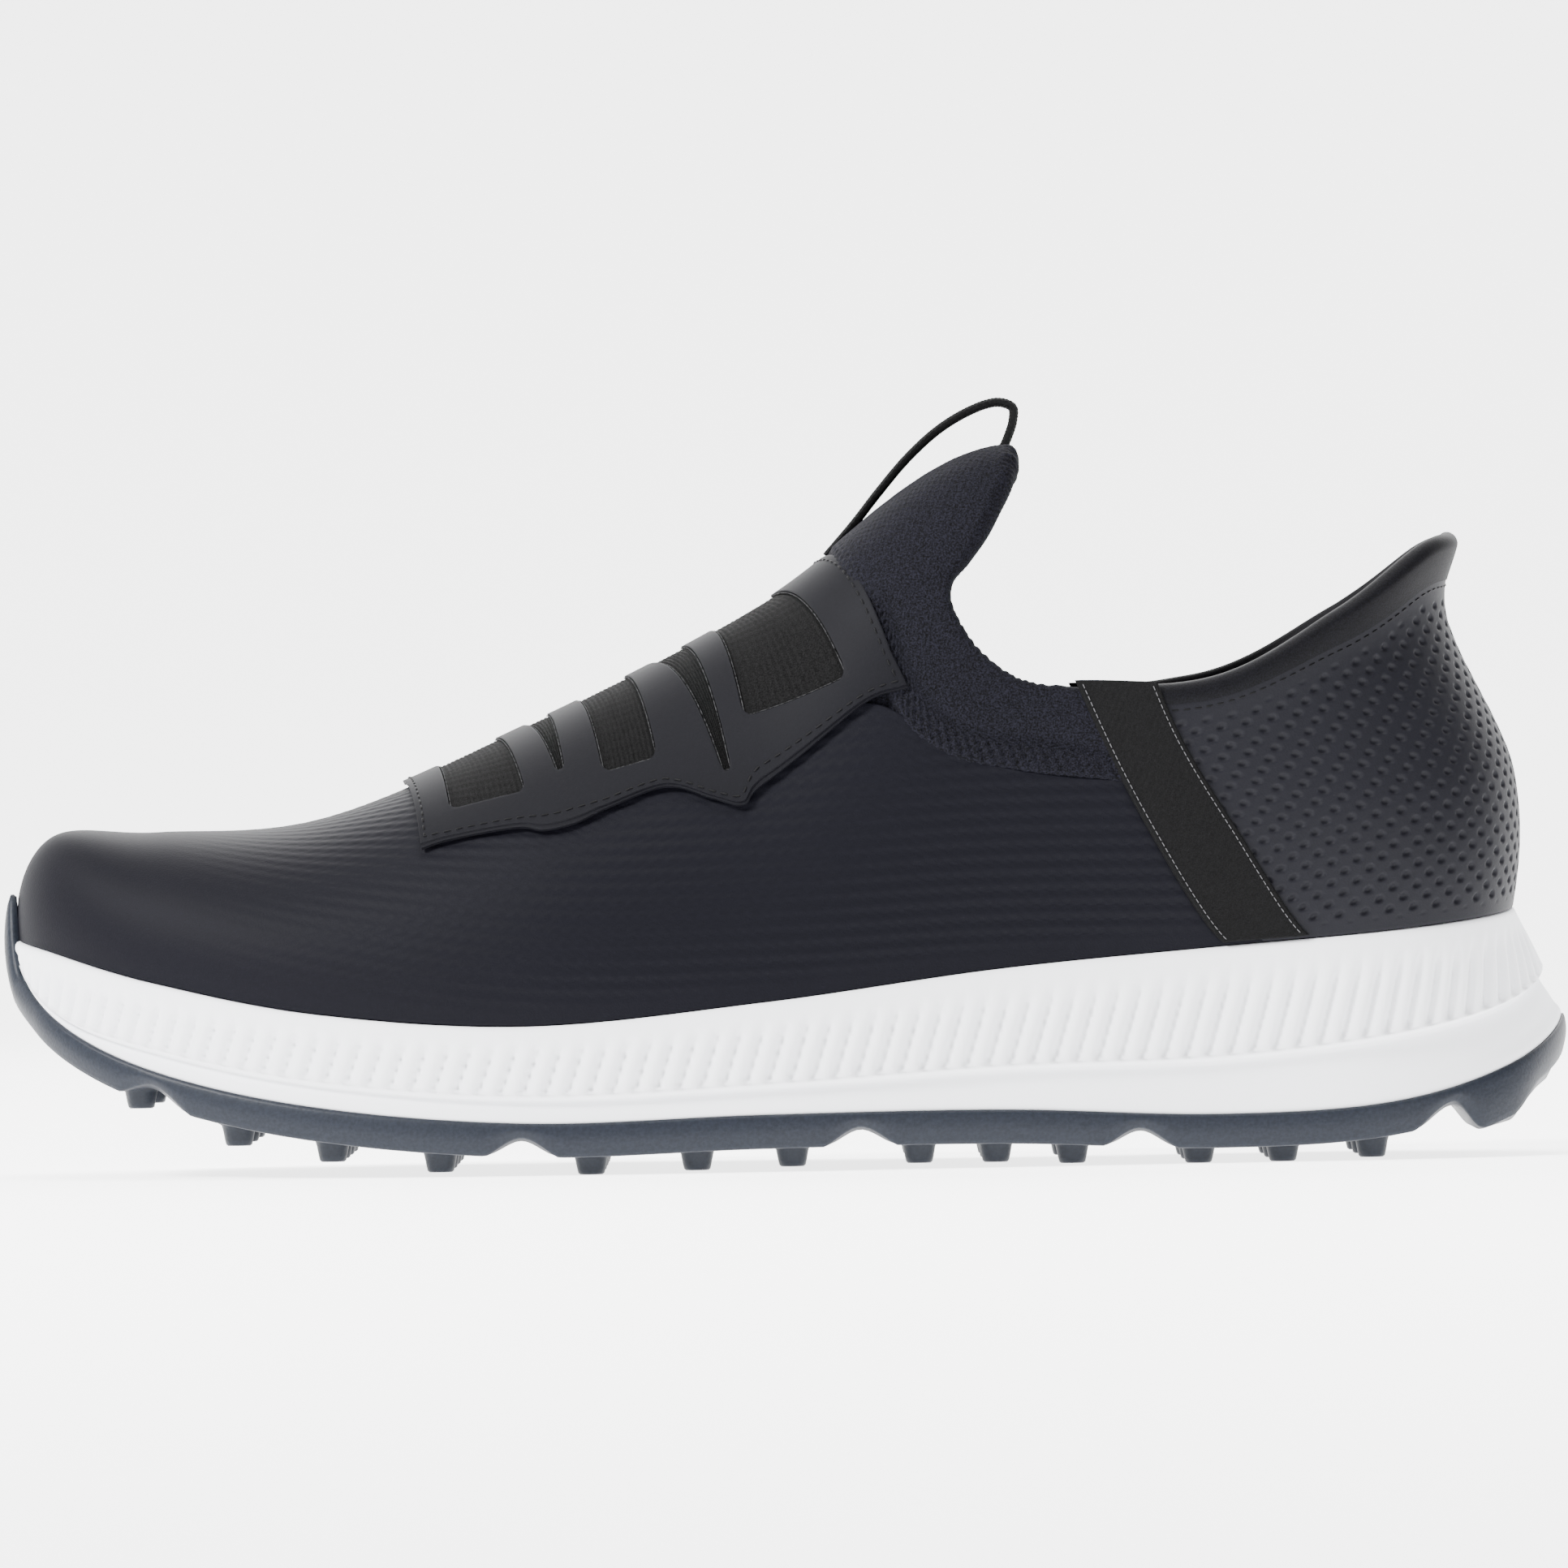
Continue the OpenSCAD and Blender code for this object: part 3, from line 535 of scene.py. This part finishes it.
midsole()
outsole()
turf_lugs()
plate("lasting_board", 0.12, 1.8, 0, 0, BOARD, "board", ["lasting_board_fore", "lasting_board_rear"])
insole = plate("insole", 2.04, 6.4, 0.2, 1.2, INSOLE, "insole_foam", ["insole_fore", "insole_rear"])

# ---- vamp and quarters: one embossed skin from toe to side tapes
SKIN_T = 1.4
# The skin's upper edge: x, then w there
VAMP_TOP = (
    [-150, -56, -34, -20, 0, 12, 18, 24, 30, 37, 46, 56, 66, 80],
    [0, 0, 0.4, 0.44, 0.46, 0.475, 0.5, 0.55, 0.61, 0.65, 0.675, 0.69, 0.695, 0.7],
)
RIB_PITCH = 2.8


def vamp_side(side):
    n, m = ((640, 190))
    u = np.linspace(0, 1, n)[:, None]
    v = np.linspace(0, 1, m)[None]
    s = u * station(mix(94, 75, v))
    x = station_x(s)
    upper = np.mean([np.interp(x + dx, *VAMP_TOP) for dx in (-3, -1.5, 0, 1.5, 3)], 0)
    w = side * mix(1, upper, v)
    girth = girth_at(s, w, side)
    row = (girth + 0.09 * x) / RIB_PITCH
    beads = np.cos(2 * np.pi * (x / 3.0 + 0.5 * np.round(row)))
    cells = np.cos(2 * np.pi * row) * (0.65 + 0.35 * beads)
    grow = smooth((x + 122) / 60) * smooth((girth - 1.5) / 5)
    d = 0.1 * cells * grow
    outer = on_last(s, w, d)
    return skirt(outer, on_last(s, w, d - SKIN_T), "bcd")


vamp = make("vamp", [vamp_side(LAT), vamp_side(MED)[:, ::-1]], SYNTHETIC, "synthetic", merge=True)
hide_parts("vamp_toe", "vamp_flex_zone", "quarter_lateral", "quarter_medial")
bend_at_ball(vamp)

# ---- lining
KNIT_T = 2.6
LINING_T = 1.2
INNER_D = -KNIT_T - 0.12 - LINING_T


def lining():
    n, m = 150, 121
    u = np.linspace(0.0, 1, n)[:, None]
    t = np.linspace(-1, 1, m)[None]
    back = curve([[13, 0], [24, 0.36], [38, 0.58], [60, 0.64], [76, 0.68], [86, 1]], np.abs(t))
    s = u * station(back[..., 0])
    w = np.sign(t) * mix(np.abs(t), back[..., 1], smooth((u - 0.6) / 0.4))
    return on_last(s, w, INNER_D - 0.6 * smooth((u - 0.7) / 0.2) + 0 * s)


sock = make("lining", [lining()], LINING, "lining_mesh", merge=True)
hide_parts("lining_toe", "lining_flex_zone", "instep_lining")
bend_at_ball(sock)

# ---- elastic gore and the cut cage over it
GAP = 0.05
GORE_D = 1.2
CAGE_D = GORE_D + GAP
CAGE_T = 0.4
GORE_T = 0.6
GORE_PITCH = 0.82
# Outer edge of the cage, foot of its windows, and the windows along the ridge: x, w
CAGE_FOOT = np.array([
    [-68, 0.52], [-63, 0.515], [-50, 0.535], [-45, 0.56], [-39, 0.56], [-33, 0.54],
    [-22, 0.52], [-13, 0.565], [-7, 0.59], [-3, 0.56], [15, 0.5], [24.5, 0.51],
])
WINDOW_FOOT = np.array([
    [-69, 0.36], [-62.5, 0.41], [-48, 0.435], [-42.3, 0.4], [-40.6, 0.4], [-33.5, 0.45],
    [-23, 0.45], [-10.8, 0.52], [-9, 0.52], [-6.5, 0.42], [13.5, 0.44], [21.5, 0.44],
])
WINDOW_TOP = np.array([-72, -65.5, -54, -49, -44, -38.6, -29, -24.7, -18, -12.5, -0.5, 9.0])
STRIPS = len(WINDOW_TOP) - 1


def between(knots, k):
    return np.stack([np.interp(k, np.arange(len(knots)), knots[:, i]) for i in range(knots.shape[1])], -1)


def cage_xw(k, j):
    """Place on the cage: k along it in strips, j across: 0 ridge, 1 window foot, 2 outer edge."""
    top = np.interp(k, np.arange(STRIPS + 1), WINDOW_TOP)
    foot = between(WINDOW_FOOT, k)
    out = curve(CAGE_FOOT, k / STRIPS)
    j = j[..., None]
    ridge = np.stack([top, 0 * top], -1)
    return np.where(j <= 1, mix(ridge, foot, np.minimum(j, 1)), mix(foot, out, np.maximum(j - 1, 0)))


def gore():
    k = np.linspace(0.25, STRIPS - 0.2, 640)[:, None]
    t = np.linspace(-1, 1, 130)[None]
    j = np.abs(t) * 1.45
    k, j2 = np.broadcast_arrays(k, j)
    xw = cage_xw(k, j2)
    s, w = station(xw[..., 0]), np.sign(t) * xw[..., 1]
    ridge_x = np.interp(k, np.arange(STRIPS + 1), WINDOW_TOP)
    rib = np.abs(np.sin(np.pi * ridge_x / GORE_PITCH)) ** 0.7
    cells = np.cos(2 * np.pi * girth_at(s, w, LAT) / 2.4)
    return panel(s, w, GORE_D - 0.4 + 0.3 * rib + 0.05 * cells, GORE_T)


gore_obj = make("elastic_gore_cloth", [gore()], ELASTIC, "elastic")
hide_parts("elastic_gore")
bend_at_ball(gore_obj)


def cage():
    sub = np.concatenate([np.linspace(0, 0.16, 9), np.linspace(0.2, 0.8, 9), np.linspace(0.84, 0.98, 8)])
    kk = np.concatenate([i + sub for i in range(STRIPS)] + [[STRIPS]])
    inner_j = np.concatenate([np.linspace(0, 0.9, 19)[1:], np.linspace(0.91, 1, 10)])
    outer_j = np.concatenate([[1.03, 1.07], np.linspace(1.14, 1.9, 8), [1.925, 1.935, 2]])
    half_j = np.concatenate([inner_j, outer_j])
    jj = np.concatenate([-half_j[::-1], [0], half_j])
    k, j = np.meshgrid(kk, jj, indexing="ij")
    xw = cage_xw(k, np.abs(j))
    for strip in range(1, STRIPS, 2):
        foot = WINDOW_FOOT[strip + 1, 0] - WINDOW_FOOT[strip, 0]
        rk, rj = min(0.45, 1.9 / foot), min(0.3, 0.08 * min(1, foot / 3))
        for edge, way in ((strip, 1), (strip + 1, -1)):
            on_side = np.isclose(k, edge) & (np.abs(j) <= 1.0001) & (np.abs(j) > 1 - rj)
            on_foot = np.isclose(np.abs(j), 1) & (way * (k - edge) >= 0) & (way * (k - edge) < rk)
            turn = np.where(on_side, (np.abs(j) - 1 + rj) / rj / 2, 0.5 + way * (k - edge) / rk / 2)
            ang = turn * np.pi / 2
            arc_k = edge + way * rk * (1 - np.cos(ang))
            arc_j = 1 - rj + rj * np.sin(ang)
            spot_xw = cage_xw(arc_k, arc_j)
            xw = np.where((on_side | on_foot)[..., None], spot_xw, xw)
    s, w = station(xw[..., 0]), np.sign(j) * xw[..., 1]
    ck, cj = (kk[:-1] + kk[1:]) / 2, (jj[:-1] + jj[1:]) / 2
    hole = (np.floor(ck)[:, None] % 2 == 1) & (np.abs(cj)[None] < 1)
    solid = ~hole
    pad = np.pad(solid, 1)
    touch = pad[:-1, :-1].astype(int) + pad[1:, :-1] + pad[:-1, 1:] + pad[1:, 1:]
    border = (touch < 4) & (touch > 0)
    d = CAGE_D + CAGE_T - np.where(border, 0.06, 0.0) - 0.32 * (np.abs(j) > 1.93)
    out, inn = on_last(s, w, d), on_last(s, w, CAGE_D - 0.55 + 0 * d)
    n, m = s.shape
    index = np.arange(n * m).reshape(n, m)
    quads = np.stack([index[:-1, :-1], index[:-1, 1:], index[1:, 1:], index[1:, :-1]], -1)[solid]
    walls = []
    along_j = solid.astype(int)
    upper = np.pad(along_j, ((1, 0), (0, 0))) != np.pad(along_j, ((0, 1), (0, 0)))
    for i, jx in zip(*np.nonzero(upper)):
        a, b = index[i, jx], index[i, jx + 1]
        walls.append([a, b, n * m + b, n * m + a])
    across = np.pad(along_j, ((0, 0), (1, 0))) != np.pad(along_j, ((0, 0), (0, 1)))
    for i, jx in zip(*np.nonzero(across)):
        a, b = index[i, jx], index[i + 1, jx]
        walls.append([a, b, n * m + b, n * m + a])
    pts = np.concatenate([out.reshape(-1, 3), inn.reshape(-1, 3)])
    return pts, np.concatenate([quads, np.array(walls)])


cage_obj = make("cage_film", [cage()], FILM, "film")
cage_obj.data.set_sharp_from_angle(angle=math.radians(40))
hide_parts("cage_overlay")
bend_at_ball(cage_obj)

FRAY_D, FRAY_R = GORE_D + 0.08, 0.13
HEM_J = 1.78  # the stitching's place across the cage
edge_lines, seam = [], []
for strip in range(1, STRIPS, 2):
    for k in (strip + 0.0, strip + 1.0):
        j = np.linspace(-1, 1, 60)
        xw = cage_xw(np.full(60, k), np.abs(j))
        inset = 0.25 if k == strip else -0.25
        line = on_last(station(xw[:, 0] + inset), np.sign(j) * xw[:, 1], FRAY_D + 0 * j)
        edge_lines.append(tube(line, FRAY_R, 6))
    for side in (LAT, MED):
        k = np.linspace(strip, strip + 1, 24)
        xw = cage_xw(k, np.full(24, 1.0))
        line = on_last(station(xw[:, 0]), side * (xw[:, 1] - 0.003), FRAY_D + 0 * k)
        edge_lines.append(tube(line, FRAY_R, 6))
fray = make("window_edges", edge_lines, FRAY, "elastic")
bend_at_ball(fray)
for side in (LAT, MED):
    front, back = 0.18, STRIPS - 0.14
    k = np.concatenate([np.full(30, front), np.linspace(front, back, 500), np.full(40, back)])
    j = np.concatenate([np.linspace(0, 1.74, 30), np.full(500, HEM_J), np.linspace(1.74, 0, 40)])
    xw = cage_xw(k, j)
    line = along(station(xw[:, 0]), side * xw[:, 1], CAGE_D + CAGE_T + 0.02 + 0 * k)
    seam += stitches(*line, pitch=2.4, r=0.2)
cage_seam = make("cage_stitching", seam, THREAD, "film")
bend_at_ball(cage_seam)

# ---- knit collar and tongue: one padded piece
# Its lower and upper edges from the middle of the tongue to the end at the tape: x, w
KNIT_LOW = [
    [6, 0], [6.6, 0.08], [7.6, 0.15], [8.8, 0.21], [10.2, 0.27], [11.8, 0.33], [13.5, 0.39],
    [15.5, 0.45], [18, 0.52], [23, 0.6], [33, 0.67], [48, 0.71], [68, 0.73],
]
KNIT_TOP = [
    [43.9, 0], [43.6, 0.105], [42.3, 0.185], [40.2, 0.245], [37.8, 0.297], [34.6, 0.336], [32.3, 0.357],
    [31.8, 0.396], [33.6, 0.441], [37.4, 0.49], [43.5, 0.532], [49.7, 0.552], [57.5, 0.557],
]


def rounded_slab(s, w, out_d, in_d, rings=7):
    """A padded layer whose last column is the free edge, rolled over to the inner face."""
    outer, inner = on_last(s, w, out_d), on_last(s, w, in_d)
    grow = outer[:, -1] - outer[:, -2]
    grow /= np.linalg.norm(grow, axis=-1, keepdims=True)
    mid, half = (outer[:, -1] + inner[:, -1]) / 2, (outer[:, -1] - inner[:, -1]) / 2
    size = np.linalg.norm(half, axis=-1, keepdims=True)
    turn = np.linspace(0, np.pi, rings + 2)[1:-1]
    roll = [mid + half * math.cos(a) + grow * size * 0.9 * math.sin(a) for a in turn]
    return np.concatenate([outer, np.stack(roll, 1), inner[:, ::-1]], 1)


def knit():
    t = np.linspace(-1, 1, 520)[:, None]
    v = np.linspace(0, 1, 110)[None]
    low, top = curve(KNIT_LOW, np.abs(t)), curve(KNIT_TOP, np.abs(t))
    x = mix(low[..., 0], top[..., 0], v)
    w = np.sign(t) * mix(low[..., 1], top[..., 1] + 0.013 * smooth((np.abs(t) - 0.6) / 0.25), v)
    s = station(x)
    base = last(s, w)
    a, b = arc(base, 0), arc(base, 1)
    a = a - a[len(a) // 2]
    coarse = 1 + 0.7 * (1 - smooth((b - 9) / 3))
    eye = np.cos(2 * np.pi * (a / 2.1)) * np.cos(2 * np.pi * b / (1.75 * coarse))
    stand = 1 - np.abs(t)
    puff = 0.7 * np.sin(np.pi * np.clip(v, 0, 1)) ** 0.7
    dip = 1.7 * (1 - smooth((b - 3.2) / 2.6))
    proud = 1.5 * smooth((stand - 0.5) / 0.3) * smooth((b - 3) / 5)
    tongue_pad = 1.3 * smooth((stand - 0.42) / 0.12) * smooth(v / 0.4)
    seam_rows = 0.3 * (1 - smooth((b - 9) / 3)) * smooth((b - 4) / 1.5) * smooth((np.abs(t) - 0.35) / 0.1)
    out_d = 0.1 + (0.1 + seam_rows) * eye + puff - dip + proud
    in_d = -KNIT_T - 0.1 - tongue_pad - 0.6 * puff + 0.12 * eye
    return rounded_slab(s, w, out_d, in_d)


knit_obj = make("knit_collar_and_tongue", [knit()], KNIT, "knit")
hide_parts("knit_collar", "knit_bend_zone", "tongue", "tongue_foam")
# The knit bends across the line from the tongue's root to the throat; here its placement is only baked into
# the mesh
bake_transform(knit_obj)

# ---- heel: panel, lining with its pillow, binding, tapes
FAR_LIFT = 1.3
RIM_S = 0.645  # where the binding ends at the tapes
DIMPLE_A, DIMPLE_Z = 5.0, 4.1  # pitch round the heel and up it
PILLOW_T = 4.6


def far_lift(q, s):
    """The medial rim stands a little higher than the lateral one just behind the tapes."""
    return np.where(q > 0, FAR_LIFT, 0) * smooth((s - 0.65) / 0.05) * (1 - smooth((s - 0.76) / 0.12))


def rim_z(s):
    return mix(curve(TOP_Z, s) - 3.8, curve(TOP_Z, s) - 7.5, smooth((s - 0.68) / 0.2))


def heel_sw(q, f, top_s, foot_s):
    s = 1 - (1 - mix(foot_s, top_s, f)) * np.abs(q)
    foot = foot_z(s)
    z = mix(foot, rim_z(s) + far_lift(q, s), f)
    return s, np.where(q < 0, LAT, MED) * w_at(s, z)


def heel_panel():
    n, m = ((560, 250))
    q = np.linspace(-1, 1, n)[:, None]
    f = np.linspace(0, 1, m)[None]
    s, w = heel_sw(q, f, 0.655, 0.729)
    base = last(s, w)
    a = arc(base, 0)
    a = a - a[len(a) // 2]
    z = arc(base, 1)
    best = np.zeros(a.shape)
    for odd in (0, 1):
        da = (a - DIMPLE_A / 2 * odd + DIMPLE_A / 2) % DIMPLE_A - DIMPLE_A / 2
        dz = (z - DIMPLE_Z / 2 * odd + DIMPLE_Z / 2) % DIMPLE_Z - DIMPLE_Z / 2
        tear = (da / (0.78 - 0.2 * dz)) ** 2 + (dz / 0.66) ** 2
        best = np.maximum(best, np.exp(-(tear**1.8)))
    field = smooth((z - 2) / 1.5) * smooth((z[:, -1:] - z - 3) / 2)
    return panel(s, w, 0.1 - 0.5 * best * field, SKIN_T, "abcd", 0.1)


heel = make("heel_panel_skin", [heel_panel()], HEEL_SKIN, "synthetic")
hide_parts("heel_panel")
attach(heel, "rearfoot")


def pillow(f):
    return PILLOW_T * smooth((f - 0.42) / 0.2) * (1 - smooth((f - 0.8) / 0.18))


def heel_inside():
    q = np.linspace(-1, 1, 200)[:, None]
    f = np.linspace(0, 1, 90)[None]
    s, w = heel_sw(q, f, 0.69, 0.71)
    base = last(s, w)
    weave = np.cos(2 * np.pi * arc(base, 0) / 1.6) * np.cos(2 * np.pi * arc(base, 1) / 1.6)
    outer = on_last(s, w, INNER_D + LINING_T + 0 * f * q)
    inner = on_last(s, w, INNER_D - pillow(f) + 0.08 * weave)
    return np.concatenate([outer[:, :1], inner, outer[:, -1:]], 1)


inside = make("heel_lining_and_pillow", [heel_inside()], LINING, "lining_mesh")
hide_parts("heel_lining", "heel_pillow")
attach(inside, "rearfoot")


def binding():
    q = np.linspace(-1, 1, 360)[:, None]
    v = np.linspace(0, 1, 12)[None]
    s = 1 - (1 - RIM_S) * np.abs(q) + 0 * v
    z = mix(rim_z(s) - 0.4, curve(TOP_Z, s) - 1.6, v) + far_lift(q, s)
    w = np.where(q < 0, LAT, MED) * w_at(s, z)
    out_d = 0.15 + 0.35 * np.sin(np.pi * np.clip(v * 0.8 + 0.15, 0, 1)) + 0 * s
    in_d = INNER_D + 0.2 - 0.5 * np.sin(np.pi * v) + 0 * s
    return rounded_slab(s, w, out_d, in_d, 9)


rim_obj = make("rim_binding", [binding()], BINDING, "binding")
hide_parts("collar_rim")
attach(rim_obj, "rearfoot")
q = np.linspace(-0.97, 0.97, 900)
s_line = 1 - (1 - RIM_S) * np.abs(q)
w_line = np.where(q < 0, LAT, MED) * w_at(s_line, rim_z(s_line) + far_lift(q, s_line) - 1.6)
rim_thread = stitches(*along(s_line, w_line, 0.12 + 0 * q), pitch=2.2, r=0.16)
rim_seam = make("rim_stitching", rim_thread, THREAD, "binding")
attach(rim_seam, "rearfoot")

TAPE_FRONT = np.array([[56.3, 0.556], [83.1, 0.985]])
TAPE_REAR = np.array([[72.5, 0.552], [99.5, 0.985]])
WEAVE_L, WEAVE_W = 56, 17  # the twill's layout along the tape, and across it lengthwise of the shoe


def tape_sw(u, v, side):
    low = mix(TAPE_FRONT[0], TAPE_REAR[0], v[..., None])
    high = mix(TAPE_FRONT[1], TAPE_REAR[1], v[..., None])
    p = mix(low, high, u[..., None])
    return station(p[..., 0]), side * p[..., 1]


def side_tape(name, side, node):
    u, v = np.meshgrid(np.linspace(0, 1, 190), np.linspace(0, 1, 70), indexing="ij")
    s, w = tape_sw(u, v, side)
    length, width = u * WEAVE_L, v * WEAVE_W
    twill = np.abs(((length + width) / 1.5) % 1 - 0.5) * 2
    selvedge = np.maximum(1 - smooth(width / 1.4), 1 - smooth((WEAVE_W - width) / 1.4))
    d = 0.95 + 0.13 * twill * (1 - selvedge) + 0.12 * selvedge * np.abs(np.sin(np.pi * length / 0.8))
    obj = make(name, [panel(s, w, d, 0.9, "abcd", 0.3)], WEBBING, "webbing")
    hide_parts(node)
    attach(obj, "rearfoot")
    lines = []
    for edge in (0.07, 0.93):
        u1 = np.linspace(0.01, 0.99, 300)
        s1, w1 = tape_sw(u1, np.full(300, edge), side)
        lines += stitches(*along(s1, w1, 1.14 + 0 * u1), pitch=1.25, share=0.8, r=0.1)
    sewn = make(name + "_stitching", lines, PALE_THREAD, "webbing")
    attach(sewn, "rearfoot")


side_tape("side_tape_lateral_webbing", LAT, "side_tape_lateral")
side_tape("side_tape_medial_webbing", MED, "side_tape_medial")

# ---- pull loop of webbing, sewn down at the tongue's root and over its tip
LOOP_PATH = [
    [9.5, 116.6], [15, 122.9], [19.3, 128.3], [25, 134.9], [31, 140.3], [37, 143.9],
    [42.2, 145.6], [45.5, 144.7], [45.7, 142.2], [44.8, 139.3], [43.6, 136.6],
]
LOOP_W = 9.0
LOOP_T = 1.6


def webbing_loop():
    t = np.linspace(0, 1, 300)
    p = curve(LOOP_PATH, t)
    ahead = np.gradient(p, axis=0)
    ahead /= np.linalg.norm(ahead, axis=1, keepdims=True)
    out = np.stack([-ahead[:, 1], ahead[:, 0]], 1)
    run = np.concatenate([[0], np.cumsum(np.linalg.norm(np.diff(p, axis=0), axis=1))])
    y = np.linspace(-1, 1, 37)
    weave = 0.09 * np.cos(2 * np.pi * run[:, None] / 1.3 + np.pi * np.round(y * 8)[None])
    half = LOOP_T / 2 * (1 - 0.55 * np.abs(y) ** 8)[None] + weave
    across = np.broadcast_to(y * LOOP_W / 2, half.shape)
    top = np.stack([p[:, :1] + out[:, :1] * half, across, p[:, 1:] + out[:, 1:] * half], -1)
    low = np.stack([p[:, :1] - out[:, :1] * half, across, p[:, 1:] - out[:, 1:] * half], -1)
    return np.concatenate([top, low[:, ::-1], top[:, :1]], 1)


loop_obj = make("pull_loop_webbing", [webbing_loop()], WEBBING, "webbing")
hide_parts("pull_loop", "loop_tab_front", "loop_tab_rear")
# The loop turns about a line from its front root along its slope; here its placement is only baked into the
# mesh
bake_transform(loop_obj)

# ---- hidden stiffeners keep the CAD shape
for node in ("toe_puff", "heel_counter"):
    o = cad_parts[node]
    o.data.materials.clear()
    o.data.materials.append(STIFFENER)
    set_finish(o, "stiffener")

# ---- studio
white = material("studio white", (0.86, 0.86, 0.86), 0.9)
shader = white.node_tree.nodes["Principled BSDF"]
shader.inputs["Emission Color"].default_value = (1, 1, 1, 1)
shader.inputs["Emission Strength"].default_value = 3.2
# In metres. The scale stands the sweep behind any camera that turns round the shoe
SWEEP = 1.8
ring = SWEEP * np.array([[-6, 0], [1.2, 0], [1.8, 0.06], [2.3, 0.3], [2.6, 0.8], [2.7, 4]])
xs = SWEEP * np.linspace(-6, 6, 3)
sweep = np.array([[[x, y, z] for y, z in ring] for x in xs]) / MM
floor = make("studio_floor", [sweep], white, "board")
del floor["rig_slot"]


def area_light(name, place, aim, size, power):
    data = bpy.data.lights.new(name, "AREA")
    data.shape, data.size, data.size_y, data.energy = "RECTANGLE", size[0], size[1], power
    lamp = bpy.data.objects.new(name, data)
    lamp.location = place
    lamp.rotation_euler = (Vector(aim) - Vector(place)).to_track_quat("-Z", "Y").to_euler()
    bpy.context.scene.collection.objects.link(lamp)


target = (0, 0, 0.06)
area_light("key", (-1.3, -0.75, 1.3), target, (0.5, 0.4), 88)
area_light("overhead", (0.1, 0.0, 1.6), target, (1.2, 0.6), 26)
area_light("fill", (0.9, -1.3, 0.5), target, (0.6, 0.6), 7)
area_light("back", (0.2, 1.2, 0.9), target, (1.2, 0.8), 14)
world = bpy.data.worlds.new("studio")
world.use_nodes = True
world.node_tree.nodes["Background"].inputs["Color"].default_value = (1, 1, 1, 1)
world.node_tree.nodes["Background"].inputs["Strength"].default_value = 0.45
bpy.context.scene.world = world

camera_data = bpy.data.cameras.new("camera")
camera = bpy.data.objects.new("camera", camera_data)
bpy.context.scene.collection.objects.link(camera)
bpy.context.scene.camera = camera
DISTANCE, FIELD = 3.0, 0.3008
camera_data.lens = camera_data.sensor_width * DISTANCE / FIELD
camera_data.clip_end = 30
AIM_X, AIM_Z, ROLL = 0.0006, 0.0731, 0.97
camera.location = (AIM_X, -DISTANCE, AIM_Z)
camera.rotation_euler = (math.pi / 2, math.radians(ROLL), 0)
